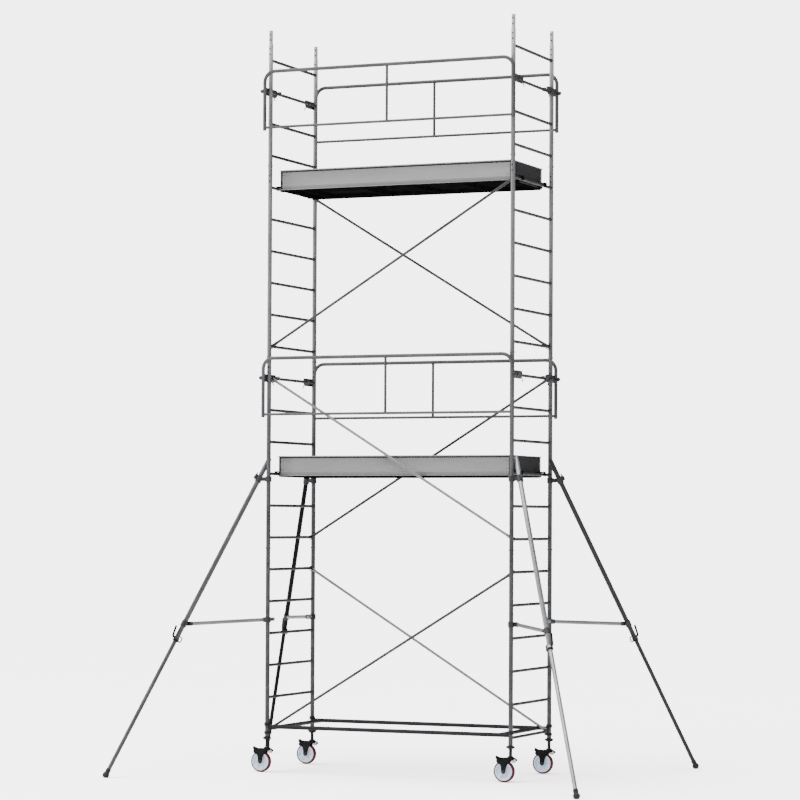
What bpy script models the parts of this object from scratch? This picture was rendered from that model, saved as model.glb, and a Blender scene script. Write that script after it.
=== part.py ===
"""Mobile tower scaffold: two ladder ends, two decks, four guardrails, castors and stabilisers.

X runs along the tower, Y across it and Z up. The origin is on the floor under the tower's middle.
Run with: blender --background --python part.py
"""
import math

import bmesh
import bpy
from mathutils import Matrix, Vector

# ---- driving dimensions, in metres ------------------------------------------------------------

TOWER_LENGTH = 2.45          # between post axes along X
TOWER_WIDTH = 1.00           # between post axes along Y
TOUCH_GAP = 0.0003           # left between pieces that bear on each other
FIT_GAP = 0.0005             # radial play of a sleeve on its spigot
SINK = 0.001                 # how far joined blocks run into each other
CUT_OVER = 0.010             # how far a cutter runs past what it cuts

POST_DIAMETER = 0.042
POST_WALL = 0.0025
RUNG_DIAMETER = 0.028
RUNG_PITCH = 0.300
FIRST_RUNG_HEIGHT = 0.403
RUNGS_PER_FRAME = (6, 6, 6, 4)
FIRST_FRAME_TAIL = 0.066     # post below the lowest rung
SPIGOT_LENGTH = 0.130
SPIGOT_CHAMFER = 0.004
SOCKET_DEPTH = 0.135
JACK_SOCKET_DEPTH = 0.300

BASE_TUBE_DIAMETER = 0.038
BASE_TUBE_RISE = 0.025       # above the lowest rung's axis
BASE_CROSS_DIAMETER = 0.037
BASE_END_GAP = 0.0035        # base tube's end to the post
BASE_COLLAR_WALL = 0.008
BASE_COLLAR_HEIGHT = 0.030
BASE_COLLAR_RISE = 0.022     # collar middle above the base tube's axis
BASE_LOWER_COLLAR_DROP = 0.056
BASE_LOWER_COLLAR_HEIGHT = 0.024
BASE_WEB_THICKNESS = 0.010
BASE_WEB_GAP = 0.004
BASE_WEB_WIDTH = 0.022

BRACE_DIAMETER = 0.025
BRACE_RISE_RUNGS = 5
BRACE_INSET = 0.050          # brace plane inside the post plane
BRACE_CROSS_GAP = 0.0092     # lowest brace above the base frame's cross tube
BRACE_CLAW_WALL = 0.0055
BRACE_CLAW_WIDTH = 0.022
BRACE_CLAW_PLAY = 0.0008
BRACE_TUBE_BACK = 0.003      # brace tube's end inside the claw's wall
CLAW_MOUTH_EASE = 14.0       # degrees, keeps a faceted claw clear of its rung

GUARD_TUBE_DIAMETER = 0.034
GUARD_BAR_DIAMETER = 0.025
GUARD_OFFSET = 0.070         # guardrail plane outside the post plane
GUARD_LEG_OUT = 0.028        # guardrail leg beyond the post axis along X
GUARD_TOP_RISE = 0.183       # top rail above the rung that carries the claws
GUARD_LOWER_DROP = 0.344     # lower rail below that rung
GUARD_TAIL = 0.028
GUARD_CORNER_RADIUS = 0.100
GUARD_CLAW_REACH = 0.190     # claw plate past the post axis
GUARD_CLAW_HEIGHT = 0.075
GUARD_CLAW_THICKNESS = 0.006
GUARD_HOOK_WIDTH = 0.030
GUARD_HOOK_THICKNESS = 0.008
GUARD_LIP_THICKNESS = 0.006
GUARD_LIP_GAP = 0.002
GUARD_LIP_DROP = 0.010
GUARD_BOSS_DIAMETER = 0.040
GUARD_BOSS_LENGTH = 0.042

DECK_END_GAP = 0.045         # post axis to the toe board rim along X
DECK_SIDE_GAP = 0.105        # post axis to the toe board rim along Y
TOE_BOARD_DROP = 0.018       # below the rung axis
TOE_BOARD_RISE = 0.170
TOE_BOARD_WALL = 0.003
TOE_RIM_SET = 0.001          # board edge inside its rim
TOE_RIM_WIDTH = 0.010
TOE_RIM_THICKNESS = 0.006
DECK_TOP_RISE = 0.020
DECK_BOTTOM_DROP = 0.030
DECK_PLATE = 0.012
DECK_RAIL_WIDTH = 0.030
DECK_HOOK_INSET = 0.0815     # hook middle from the deck's long side
DECK_HOOK_WIDTH = 0.045
DECK_HOOK_THICKNESS = 0.012
DECK_HOOK_PLAY = 0.0015
DECK_HOOK_ROOT = 0.012       # hook arm into the deck's end rail
DECK_LIP_THICKNESS = 0.0084
DECK_LIP_DROP = 0.012
DECK_BRACKET_ROOT = 0.010
DECK_BRACKET_GAP = 0.006     # bracket to the rung
DECK_BRACKET_RISE = 0.004    # bracket above the deck's underside
DECK_BRACKET_STEP = 0.002    # bracket below the hook's top
DECK_BAY_COUNT = 3
DECK_NOTCH_PLAY = 0.002
HATCH_LENGTH = 0.600
HATCH_WIDTH = 0.500
HATCH_END_MARGIN = 0.215     # hatch opening from the deck's end
HATCH_GAP = 0.003
HATCH_HINGE_GAP = 0.014
HATCH_LEDGE = 0.020
HATCH_STIFFENER_WIDTH = 0.030
HATCH_STIFFENER_DEPTH = 0.012
HATCH_STIFFENER_GAP = 0.006  # stiffener to the ledge
FINGER_HOLE_LENGTH = 0.100
FINGER_HOLE_WIDTH = 0.030
FINGER_HOLE_MARGIN = 0.030

JACK_STEM_PLAY = 0.0015      # radial, in the post
JACK_STEM_INSIDE = 0.250     # stem held inside the post at rest
JACK_STEM_CHAMFER = 0.003
JACK_NUT_WALL = 0.011        # beyond the stem's radius
JACK_NUT_HEIGHT = 0.032
JACK_NUT_LUG = 0.014
JACK_LUG_WIDTH = 0.018
JACK_LUG_INSET = 0.006       # lug inside the nut's height and wall
JACK_FLANGE_OVER = 0.012     # beyond the stem's radius
JACK_FLANGE_HEIGHT = 0.008
KING_PIN_DIAMETER = 0.016
KING_PIN_LENGTH = 0.016

WHEEL_DIAMETER = 0.200
WHEEL_WIDTH = 0.046
WHEEL_HUB_WIDTH = 0.050
WHEEL_HUB_DIAMETER = 0.050
WHEEL_WEB_WIDTH = 0.026
WHEEL_RIM_DEPTH = 0.022
WHEEL_DRAFT = 0.004          # slope of the web's walls
TREAD_CROWN = 0.006
TREAD_SHOULDER = 0.007
WHEEL_TRAIL = 0.060
AXLE_DIAMETER = 0.012
AXLE_HEAD_DIAMETER = 0.022
AXLE_HEAD_HEIGHT = 0.007
WHEEL_HEAD_GAP = 0.006       # wheel to the fork's head
FORK_HEAD_DIAMETER = 0.074
FORK_HEAD_HEIGHT = 0.023
FORK_PLATE = 0.004
FORK_LEG_WIDTH = 0.034
FORK_SIDE_GAP = 0.002
FORK_HEAD_SET = 0.004        # fork legs below the head's top
RELEASE_ARM_DIAMETER = 0.013
RELEASE_ARM_RADIUS = 0.027
CHEEK_GAP = 0.0015
CHEEK_THICKNESS = 0.004
CHEEK_BACK = 0.007
PEDAL_WIDTH = 0.040
PEDAL_HINGE_BACK = 0.052     # pedal hinge behind the stem axis
PEDAL_HINGE_DROP = 0.010     # below the fork's top
PEDAL_REACH = 0.084
PEDAL_THICKNESS = 0.009
PEDAL_HUB_WALL = 0.002

STABILISER_ANGLE = 50.0      # degrees from the tower's long side
STABILISER_SIDE_GAP = 0.0002 # leg tube to the coupler band beside it
STABILISER_REACH = 1.590     # post axis to foot, in the leg's plane
STABILISER_TUBE_DIAMETER = 0.045
STABILISER_WALL = 0.00275
STABILISER_PLAY = 0.00075    # radial, of the sliding tube
STABILISER_APEX_HEIGHT = 2.890   # where the leg's axis is level with the post axis
STABILISER_TOP_HEIGHT = 2.950
STABILISER_SLEEVE_HEIGHT = 1.240  # lower end of the outer tube
STABILISER_BORE_DEPTH = 0.950
STABILISER_OVERLAP = 0.450
STABILISER_COLLAR_LENGTH = 0.040
STABILISER_COLLAR_WALL = 0.006
STABILISER_COLLAR_SLOPE = 0.003
CLAMP_WALL = 0.0075          # clamp body beyond the leg tube's radius
CLAMP_LENGTH = 0.060
FOOT_WALL = 0.013            # foot beyond the sliding tube's radius
FOOT_FLAT = 0.006            # cut off the foot's ball by the floor
FOOT_SLEEVE_LENGTH = 0.060
FOOT_SLEEVE_WALL = 0.005
GROUND_CUT = 0.200           # half size of the block that flattens the foot
COUPLER_HEIGHT = 0.050
COUPLER_WALL = 0.008
COUPLER_ARM_WIDTH = 0.028
COUPLER_ARM_SET = 0.006      # arm inside the band's height
COUPLER_ARM_ROOT = 0.002
UPPER_COUPLER_HEIGHT = 2.752
STRUT_DIAMETER = 0.035
STRUT_POST_HEIGHT = 1.430
STRUT_LEG_HEIGHT = 1.400
STRUT_TAIL = 0.090           # strut beyond the post
STRUT_LUG_LENGTH = 0.080
STRUT_LUG_THICKNESS = 0.008
STRUT_LUG_HEIGHT = 0.040
STRUT_PIN_INSET = 0.016      # pin from the lug's end
STRUT_PIN_DIAMETER = 0.012
STRUT_PIN_OVER = 0.010
STRUT_END_GAP = 0.004        # strut tube to the lug
CHEEK_OVERLAP = 0.030        # strut cheeks along the strut tube
STRUT_CHEEK_THICKNESS = 0.005
STRUT_CHEEK_HEIGHT = 0.028
STRUT_CHEEK_OVER = 0.013     # cheek beyond the pin

POST_SIDES = 10
RUNG_SIDES = 6
TUBE_SIDES = 8
BAND_SIDES = 12
WHEEL_SIDES = 20
CORNER_STEPS = 4

# ---- sizes that follow -------------------------------------------------------------------------

POST_X = TOWER_LENGTH / 2
POST_Y = TOWER_WIDTH / 2
POST_RADIUS = POST_DIAMETER / 2
RUNG_RADIUS = RUNG_DIAMETER / 2
POST_BORE_DIAMETER = POST_DIAMETER - 2 * POST_WALL
JACK_STEM_DIAMETER = POST_BORE_DIAMETER - 2 * JACK_STEM_PLAY
JACK_NUT_DIAMETER = JACK_STEM_DIAMETER + 2 * JACK_NUT_WALL
JACK_FLANGE_DIAMETER = JACK_STEM_DIAMETER + 2 * JACK_FLANGE_OVER
FORK_TOP_HEIGHT = WHEEL_DIAMETER + WHEEL_HEAD_GAP + FORK_HEAD_HEIGHT
PEDAL_HINGE_HEIGHT = FORK_TOP_HEIGHT - PEDAL_HINGE_DROP
STABILISER_BORE_DIAMETER = STABILISER_TUBE_DIAMETER - 2 * STABILISER_WALL
STABILISER_INNER_DIAMETER = STABILISER_BORE_DIAMETER - 2 * STABILISER_PLAY
COUPLER_OUTSIDE = POST_RADIUS + TOUCH_GAP + COUPLER_WALL
STABILISER_OFFSET = COUPLER_OUTSIDE + STABILISER_SIDE_GAP + STABILISER_TUBE_DIAMETER / 2
CLAMP_DIAMETER = STABILISER_TUBE_DIAMETER + 2 * CLAMP_WALL
FOOT_DIAMETER = STABILISER_INNER_DIAMETER + 2 * FOOT_WALL
FOOT_CENTRE_HEIGHT = FOOT_DIAMETER / 2 - FOOT_FLAT
BASE_TUBE_HEIGHT = FIRST_RUNG_HEIGHT + BASE_TUBE_RISE
BRACE_SLOPE = BRACE_RISE_RUNGS * RUNG_PITCH / TOWER_LENGTH
BRACE_HALF_HEIGHT = BRACE_DIAMETER / 2 * math.hypot(1, BRACE_SLOPE)
BASE_CROSS_TOP = BASE_TUBE_RISE + BASE_CROSS_DIAMETER / 2
BASE_CROSS_INSET = (BASE_CROSS_TOP + BRACE_HALF_HEIGHT + BRACE_CROSS_GAP) / BRACE_SLOPE
POST_FOOT_HEIGHT = FIRST_RUNG_HEIGHT - FIRST_FRAME_TAIL
CORNERS = {
    "front_left": (-1, -1),
    "front_right": (1, -1),
    "back_left": (-1, 1),
    "back_right": (1, 1),
}
DECK_RUNGS = {"lower": 9, "upper": 18}
GUARD_RUNGS = {"lower": 12, "upper": 21}


def rung_height(number):
    """Height of a rung's axis, counted from 1 at the bottom."""
    return FIRST_RUNG_HEIGHT + (number - 1) * RUNG_PITCH


# ---- scene and materials -----------------------------------------------------------------------

for old in list(bpy.data.objects):
    bpy.data.objects.remove(old, do_unlink=True)
tower = bpy.data.collections.new("mobile_tower_scaffold")
workshop = bpy.data.collections.new("cutters")
bpy.context.scene.collection.children.link(tower)
bpy.context.scene.collection.children.link(workshop)


def material(name, colour, roughness, metallic):
    made = bpy.data.materials.new(name)
    made.use_nodes = True
    shader = made.node_tree.nodes["Principled BSDF"]
    shader.inputs["Base Color"].default_value = (*colour, 1.0)
    shader.inputs["Roughness"].default_value = roughness
    shader.inputs["Metallic"].default_value = metallic
    return made


GALVANISED = material("galvanised_steel", (0.42, 0.43, 0.44), 0.45, 0.9)
DARK_TUBE = material("dark_galvanised_tube", (0.16, 0.16, 0.17), 0.5, 0.8)
ALUMINIUM = material("toe_board_aluminium", (0.46, 0.46, 0.46), 0.4, 0.9)
DECK_DARK = material("deck_underside", (0.03, 0.03, 0.03), 0.7, 0.0)
PLYWOOD = material("deck_plywood", (0.10, 0.06, 0.04), 0.6, 0.0)
BRIGHT_TUBE = material("bright_tube", (0.60, 0.61, 0.62), 0.35, 0.95)
BLACK_STEEL = material("black_castor_steel", (0.015, 0.015, 0.015), 0.45, 0.3)
NYLON = material("pale_wheel", (0.62, 0.66, 0.72), 0.4, 0.0)

# ---- modelling helpers -------------------------------------------------------------------------


def add_object(name, mesh, collection=workshop):
    made = bpy.data.objects.new(name, mesh)
    collection.objects.link(made)
    return made


def cleaned(mesh):
    """Welds a mesh's seams and turns its faces outwards."""
    work = bmesh.new()
    work.from_mesh(mesh)
    bmesh.ops.remove_doubles(work, verts=work.verts, dist=0.00001)
    bmesh.ops.recalc_face_normals(work, faces=work.faces)
    work.to_mesh(mesh)
    work.free()
    return mesh


def evaluated(source):
    """Plain mesh of an object with its modifiers; the object goes."""
    graph = bpy.context.evaluated_depsgraph_get()
    mesh = bpy.data.meshes.new_from_object(source.evaluated_get(graph))
    bpy.data.objects.remove(source, do_unlink=True)
    return cleaned(mesh)


def moved(mesh, matrix):
    mesh.transform(matrix)
    return mesh


def box(low, high):
    """Box between two opposite corners."""
    low, high = Vector(low), Vector(high)
    size = high - low
    work = bmesh.new()
    place = Matrix.Translation((low + high) / 2) @ Matrix.Diagonal((*size, 1.0))
    bmesh.ops.create_cube(work, size=1.0, matrix=place)
    mesh = bpy.data.meshes.new("box")
    work.to_mesh(mesh)
    work.free()
    return mesh


def rod(start, end, diameter, sides):
    """Round bar between two points."""
    start, end = Vector(start), Vector(end)
    along = end - start
    turn = along.to_track_quat("Z", "Y").to_matrix().to_4x4()
    work = bmesh.new()
    bmesh.ops.create_cone(
        work, cap_ends=True, segments=sides, radius1=diameter / 2, radius2=diameter / 2,
        depth=along.length, matrix=Matrix.Translation((start + end) / 2) @ turn,
    )
    mesh = bpy.data.meshes.new("rod")
    work.to_mesh(mesh)
    work.free()
    return mesh


def turned(profile, sides, closed=False):
    """Solid turned about Z from (radius, height) points that run down the outer side."""
    edges = [(i, i + 1) for i in range(len(profile) - 1)]
    if closed:
        edges.append((len(profile) - 1, 0))
    mesh = bpy.data.meshes.new("profile")
    mesh.from_pydata([(radius, 0.0, height) for radius, height in profile], edges, [])
    source = add_object("profile", mesh)
    screw = source.modifiers.new("turn", "SCREW")
    screw.steps = sides
    screw.render_steps = sides
    screw.use_merge_vertices = True
    screw.merge_threshold = 0.00005
    return evaluated(source)


def ring(inner_radius, wall, low, high, sides=BAND_SIDES):
    """Band about Z between two heights; the inner radius is clear of facets."""
    inner = inner_radius / math.cos(math.pi / sides)
    outer = inner_radius + wall
    return turned([(outer, high), (outer, low), (inner, low), (inner, high)], sides, closed=True)


def bent_tube(points, diameter):
    """Tube along a run of points, with capped ends."""
    curve = bpy.data.curves.new("path", "CURVE")
    curve.dimensions = "3D"
    curve.bevel_depth = diameter / 2
    curve.bevel_resolution = 2
    curve.use_fill_caps = True
    spline = curve.splines.new("POLY")
    spline.points.add(len(points) - 1)
    for point, place in zip(spline.points, points):
        point.co = (*place, 1.0)
    return evaluated(add_object("path", curve))


def flat_shape(outline, thickness):
    """Outline in X and Z, with a thickness centred on Y = 0."""
    curve = bpy.data.curves.new("outline", "CURVE")
    curve.dimensions = "2D"
    curve.fill_mode = "BOTH"
    curve.extrude = thickness / 2
    spline = curve.splines.new("POLY")
    spline.points.add(len(outline) - 1)
    for point, (x, z) in zip(spline.points, outline):
        point.co = (x, z, 0.0, 1.0)
    spline.use_cyclic_u = True
    mesh = evaluated(add_object("outline", curve))
    return moved(mesh, Matrix.Rotation(math.radians(90), 4, "X"))


def arc(centre, radius, start, end, steps):
    """Points on an arc, angles in degrees."""
    angles = [math.radians(start + (end - start) * i / steps) for i in range(steps + 1)]
    return [(centre[0] + radius * math.cos(a), centre[1] + radius * math.sin(a)) for a in angles]


def combined(meshes, operation):
    """First mesh with the others united to it, or cut from it."""
    others = bpy.data.collections.new("operands")
    bpy.context.scene.collection.children.link(others)
    target = add_object("target", meshes[0])
    for mesh in meshes[1:]:
        add_object("operand", mesh, others)
    modifier = target.modifiers.new("combine", "BOOLEAN")
    modifier.operation = operation
    modifier.solver = "EXACT"
    modifier.operand_type = "COLLECTION"
    modifier.collection = others
    result = evaluated(target)
    for operand in list(others.objects):
        bpy.data.objects.remove(operand, do_unlink=True)
    bpy.data.collections.remove(others)
    return result


def united(*meshes):
    return combined(meshes, "UNION")


def cut(mesh, *cutters):
    return combined((mesh, *cutters), "DIFFERENCE")


def part(name, mesh, finish, location=(0, 0, 0), turn=0.0, parent=None):
    """Named sub-part in the tower's collection."""
    made = add_object(name, mesh, tower)
    made.location = location
    made.rotation_euler = (0, 0, math.radians(turn))
    made.parent = parent
    if not mesh.materials:
        mesh.materials.append(finish)
        mesh.shade_smooth()
        mesh.set_sharp_from_angle(angle=math.radians(35))
    return made


# ---- ladder ends -------------------------------------------------------------------------------


def ladder_mesh(rungs, tail, socket_depth):
    """Ladder frame about its lowest rung's axis: two posts with a spigot on top, and the rungs."""
    top = (rungs - 0.5) * RUNG_PITCH
    tip = top + SPIGOT_LENGTH
    spigot = POST_BORE_DIAMETER / 2 - FIT_GAP
    profile = [
        (0, tip), (spigot - SPIGOT_CHAMFER, tip), (spigot, tip - SPIGOT_CHAMFER), (spigot, top),
        (POST_RADIUS, top), (POST_RADIUS, -tail), (0, -tail),
    ]
    places = [Matrix.Translation((0, y, 0)) for y in (-POST_Y, POST_Y)]
    posts = [moved(turned(profile, POST_SIDES), place) for place in places]
    bars = [
        rod((0, -POST_Y, k * RUNG_PITCH), (0, POST_Y, k * RUNG_PITCH), RUNG_DIAMETER, RUNG_SIDES)
        for k in range(rungs)
    ]
    bore = [(0, socket_depth - tail), (POST_BORE_DIAMETER / 2, socket_depth - tail)]
    bore += [(POST_BORE_DIAMETER / 2, -tail - CUT_OVER), (0, -tail - CUT_OVER)]
    cutters = [moved(turned(bore, POST_SIDES), place) for place in places]
    return cut(united(*posts, *bars), *cutters)


def make_ladders():
    first_rung = 1
    for level, rungs in enumerate(RUNGS_PER_FRAME, start=1):
        if level == 1:
            mesh = ladder_mesh(rungs, FIRST_FRAME_TAIL, JACK_SOCKET_DEPTH)
        else:
            mesh = ladder_mesh(rungs, RUNG_PITCH / 2 - TOUCH_GAP, SOCKET_DEPTH)
        for side, x in (("left", -POST_X), ("right", POST_X)):
            part(f"{side}_ladder_{level}", mesh, GALVANISED, (x, 0, rung_height(first_rung)))
        first_rung += rungs


# ---- base frame --------------------------------------------------------------------------------


def base_corner(x_sign, y_sign, with_lower):
    """Collar on a post, with a web down to a second collar where the corner has one."""
    inner = POST_RADIUS + TOUCH_GAP
    middle = BASE_TUBE_HEIGHT + BASE_COLLAR_RISE
    low, high = middle - BASE_COLLAR_HEIGHT / 2, middle + BASE_COLLAR_HEIGHT / 2
    place = Matrix.Translation((x_sign * POST_X, y_sign * POST_Y, 0))
    pieces = [moved(ring(inner, BASE_COLLAR_WALL, low, high), place)]
    if with_lower:
        lower = BASE_TUBE_HEIGHT - BASE_LOWER_COLLAR_DROP
        half = BASE_LOWER_COLLAR_HEIGHT / 2
        pieces.append(moved(ring(inner, BASE_COLLAR_WALL, lower - half, lower + half), place))
        near = POST_RADIUS + BASE_WEB_GAP
        far = near + BASE_WEB_WIDTH
        x_near, x_far = x_sign * (POST_X - near), x_sign * (POST_X - far)
        y = y_sign * POST_Y
        pieces.append(box(
            (min(x_near, x_far), y - BASE_WEB_THICKNESS / 2, lower - half + 2 * SINK),
            (max(x_near, x_far), y + BASE_WEB_THICKNESS / 2, BASE_TUBE_HEIGHT),
        ))
    return pieces


def make_base_frame():
    reach = POST_X - POST_RADIUS - BASE_END_GAP
    pieces = [
        rod((-reach, y, BASE_TUBE_HEIGHT), (reach, y, BASE_TUBE_HEIGHT), BASE_TUBE_DIAMETER, TUBE_SIDES)
        for y in (-POST_Y, POST_Y)
    ]
    for x in (-POST_X + BASE_CROSS_INSET, POST_X - BASE_CROSS_INSET):
        ends = ((x, -POST_Y, BASE_TUBE_HEIGHT), (x, POST_Y, BASE_TUBE_HEIGHT))
        pieces.append(rod(*ends, BASE_CROSS_DIAMETER, TUBE_SIDES))
    for x_sign, y_sign in CORNERS.values():
        pieces += base_corner(x_sign, y_sign, x_sign == y_sign)
    part("base_frame", united(*pieces), DARK_TUBE)


# ---- diagonal braces ---------------------------------------------------------------------------


def brace_claw(x, z):
    """Claw over a rung, open below."""
    inner = RUNG_RADIUS + BRACE_CLAW_PLAY
    outer = inner + BRACE_CLAW_WALL
    clear = inner / math.cos(math.radians(CLAW_MOUTH_EASE))
    outline = arc((x, z), clear, -20, 200, 8) + arc((x, z), outer, 200, -20, 8)
    return flat_shape(outline, BRACE_CLAW_WIDTH)


def make_braces():
    run = POST_X
    rise = BRACE_RISE_RUNGS * RUNG_PITCH / 2
    slope = Vector((run, 0, rise)).normalized()
    setback = RUNG_RADIUS + BRACE_CLAW_PLAY + BRACE_TUBE_BACK
    end = Vector((run, 0, rise)) - slope * setback
    mesh = united(
        rod(-end, end, BRACE_DIAMETER, TUBE_SIDES),
        brace_claw(-run, -rise), brace_claw(run, rise),
    )
    lowest = {"lower": 1, "middle": 7, "upper": 13}
    for index, (level, rung) in enumerate(lowest.items()):
        middle = rung_height(rung) + rise
        for side, y in (("front", -POST_Y + BRACE_INSET), ("back", POST_Y - BRACE_INSET)):
            rises_right = (index % 2 == 0) == (side == "front")
            part(f"{side}_brace_{level}", mesh, GALVANISED, (0, y, middle), 0 if rises_right else 180)


# ---- guardrails --------------------------------------------------------------------------------


def guard_claw(sign):
    """Plate from the guardrail leg past the post, hooked over the rung, with the clamp's boss."""
    inside = POST_RADIUS + TOUCH_GAP
    outside = inside + GUARD_CLAW_THICKNESS
    half = GUARD_CLAW_HEIGHT / 2
    over = RUNG_RADIUS + BRACE_CLAW_PLAY
    lip = RUNG_RADIUS + GUARD_LIP_GAP
    back = -lip - GUARD_LIP_THICKNESS
    top = over + GUARD_HOOK_THICKNESS

    def at(near, far, y_low, y_high, z_low, z_high):
        xs = sorted((sign * (POST_X + near), sign * (POST_X + far)))
        return box((xs[0], y_low, z_low), (xs[1], y_high, z_high))

    hook = GUARD_CLAW_REACH - GUARD_HOOK_WIDTH
    leg = POST_X + GUARD_LEG_OUT
    boss = rod(
        (sign * leg, -GUARD_OFFSET, 0), (sign * (leg + GUARD_BOSS_LENGTH), -GUARD_OFFSET, 0),
        GUARD_BOSS_DIAMETER, TUBE_SIDES,
    )
    return [
        at(inside, outside, -GUARD_OFFSET, GUARD_CLAW_REACH, -half, half),
        at(back, outside - SINK, hook, GUARD_CLAW_REACH - SINK, over, top),
        at(back, -lip, hook, GUARD_CLAW_REACH - SINK, -GUARD_LIP_DROP, top - SINK),
        boss,
    ]


def make_guardrails():
    leg = POST_X + GUARD_LEG_OUT
    bottom = -GUARD_LOWER_DROP - GUARD_TAIL
    radius = GUARD_CORNER_RADIUS
    left = arc((-leg + radius, GUARD_TOP_RISE - radius), radius, 180, 90, CORNER_STEPS)
    right = arc((leg - radius, GUARD_TOP_RISE - radius), radius, 90, 0, CORNER_STEPS)
    path = [(-leg, bottom), *left, *right, (leg, bottom)]
    goal = bent_tube([(x, -GUARD_OFFSET, z) for x, z in path], GUARD_TUBE_DIAMETER)
    rail = rod((-leg, -GUARD_OFFSET, -GUARD_LOWER_DROP), (leg, -GUARD_OFFSET, -GUARD_LOWER_DROP),
               GUARD_BAR_DIAMETER, TUBE_SIDES)
    bar = rod((0, -GUARD_OFFSET, -GUARD_LOWER_DROP), (0, -GUARD_OFFSET, GUARD_TOP_RISE),
              GUARD_BAR_DIAMETER - SINK, TUBE_SIDES)
    mesh = united(goal, rail, bar, *guard_claw(-1), *guard_claw(1))
    for level, rung in GUARD_RUNGS.items():
        height = rung_height(rung)
        part(f"front_guardrail_{level}", mesh, GALVANISED, (0, -POST_Y, height))
        part(f"back_guardrail_{level}", mesh, GALVANISED, (0, POST_Y, height), 180)


# ---- decks -------------------------------------------------------------------------------------

BOARD_X = POST_X - DECK_END_GAP - TOE_RIM_WIDTH      # outer face of the end toe boards
BOARD_Y = POST_Y - DECK_SIDE_GAP - TOE_RIM_WIDTH     # outer face of the long toe boards
DECK_X = BOARD_X - TOE_BOARD_WALL - FIT_GAP
DECK_Y = BOARD_Y - TOE_BOARD_WALL - FIT_GAP
DECK_HOOK_SPREAD = DECK_Y - DECK_HOOK_INSET
HATCH_X_LOW = -DECK_X + HATCH_END_MARGIN
HATCH_X_HIGH = HATCH_X_LOW + HATCH_LENGTH
HOOK_TOP = RUNG_RADIUS + DECK_HOOK_PLAY + DECK_HOOK_THICKNESS


def block(x_half, y_half, low, high):
    return box((-x_half, -y_half, low), (x_half, y_half, high))


def deck_hook(sign, y):
    """Arm over the rung with a lip behind it, and a bracket in front of the rung."""
    over = RUNG_RADIUS + DECK_HOOK_PLAY
    half = DECK_HOOK_WIDTH / 2

    def at(near, far, low, high):
        xs = sorted((sign * near, sign * far))
        return box((xs[0], y - half, low), (xs[1], y + half, high))

    lip = POST_X + over
    end = lip + DECK_LIP_THICKNESS
    bracket = POST_X - RUNG_RADIUS - DECK_BRACKET_GAP
    bracket_low = -DECK_BOTTOM_DROP + DECK_BRACKET_RISE
    return [
        at(DECK_X - DECK_HOOK_ROOT, end, over, HOOK_TOP),
        at(lip, end, -DECK_LIP_DROP, HOOK_TOP - SINK),
        at(DECK_X - DECK_BRACKET_ROOT, bracket, bracket_low, HOOK_TOP - DECK_BRACKET_STEP),
    ]


def deck_mesh():
    """Tray about the carrying rungs' height: side rails, cross members, a plate and four hooks."""
    tray = block(DECK_X, DECK_Y, -DECK_BOTTOM_DROP, DECK_TOP_RISE)
    rail = DECK_RAIL_WIDTH
    rest = DECK_X - rail - (HATCH_X_HIGH + rail - HATCH_LEDGE)
    bays = [
        (-DECK_X + rail, HATCH_X_LOW - rail + HATCH_LEDGE),
        (HATCH_X_LOW + HATCH_LEDGE, HATCH_X_HIGH - HATCH_LEDGE),
    ]
    bay = (rest - (DECK_BAY_COUNT - 1) * rail) / DECK_BAY_COUNT
    for index in range(DECK_BAY_COUNT):
        low = HATCH_X_HIGH + rail - HATCH_LEDGE + index * (bay + rail)
        bays.append((low, low + bay))
    y = DECK_Y - rail
    under = DECK_TOP_RISE - DECK_PLATE
    floor = -DECK_BOTTOM_DROP - CUT_OVER
    pockets = [box((low, -y, floor), (high, y, under)) for low, high in bays]
    hatch = box((HATCH_X_LOW, -HATCH_WIDTH / 2, under - SINK),
                (HATCH_X_HIGH, HATCH_WIDTH / 2 + HATCH_HINGE_GAP, DECK_TOP_RISE + CUT_OVER))
    hooks = []
    for sign in (-1, 1):
        for hook_y in (-DECK_HOOK_SPREAD, DECK_HOOK_SPREAD):
            hooks += deck_hook(sign, hook_y)
    return united(cut(tray, *pockets, hatch), *hooks)


def toe_board_mesh():
    """Four boards in one ring with rims above and below, notched for the deck's hooks."""
    rim_x, rim_y = BOARD_X + TOE_RIM_WIDTH, BOARD_Y + TOE_RIM_WIDTH
    low, high = -TOE_BOARD_DROP, TOE_BOARD_RISE
    solid = united(
        block(BOARD_X, BOARD_Y, low + TOE_RIM_SET, high - TOE_RIM_SET),
        block(rim_x, rim_y, low, low + TOE_RIM_THICKNESS),
        block(rim_x, rim_y, high - TOE_RIM_THICKNESS, high),
    )
    inner_x, inner_y = BOARD_X - TOE_BOARD_WALL, BOARD_Y - TOE_BOARD_WALL
    inside = block(inner_x, inner_y, low - CUT_OVER, high + CUT_OVER)
    half = DECK_HOOK_WIDTH / 2 + DECK_NOTCH_PLAY
    notches = []
    for sign in (-1, 1):
        for y in (-DECK_HOOK_SPREAD, DECK_HOOK_SPREAD):
            xs = sorted((sign * (inner_x - CUT_OVER), sign * (rim_x + CUT_OVER)))
            top = HOOK_TOP + DECK_NOTCH_PLAY
            notches.append(box((xs[0], y - half, low - CUT_OVER), (xs[1], y + half, top)))
    return cut(solid, inside, *notches)


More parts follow.
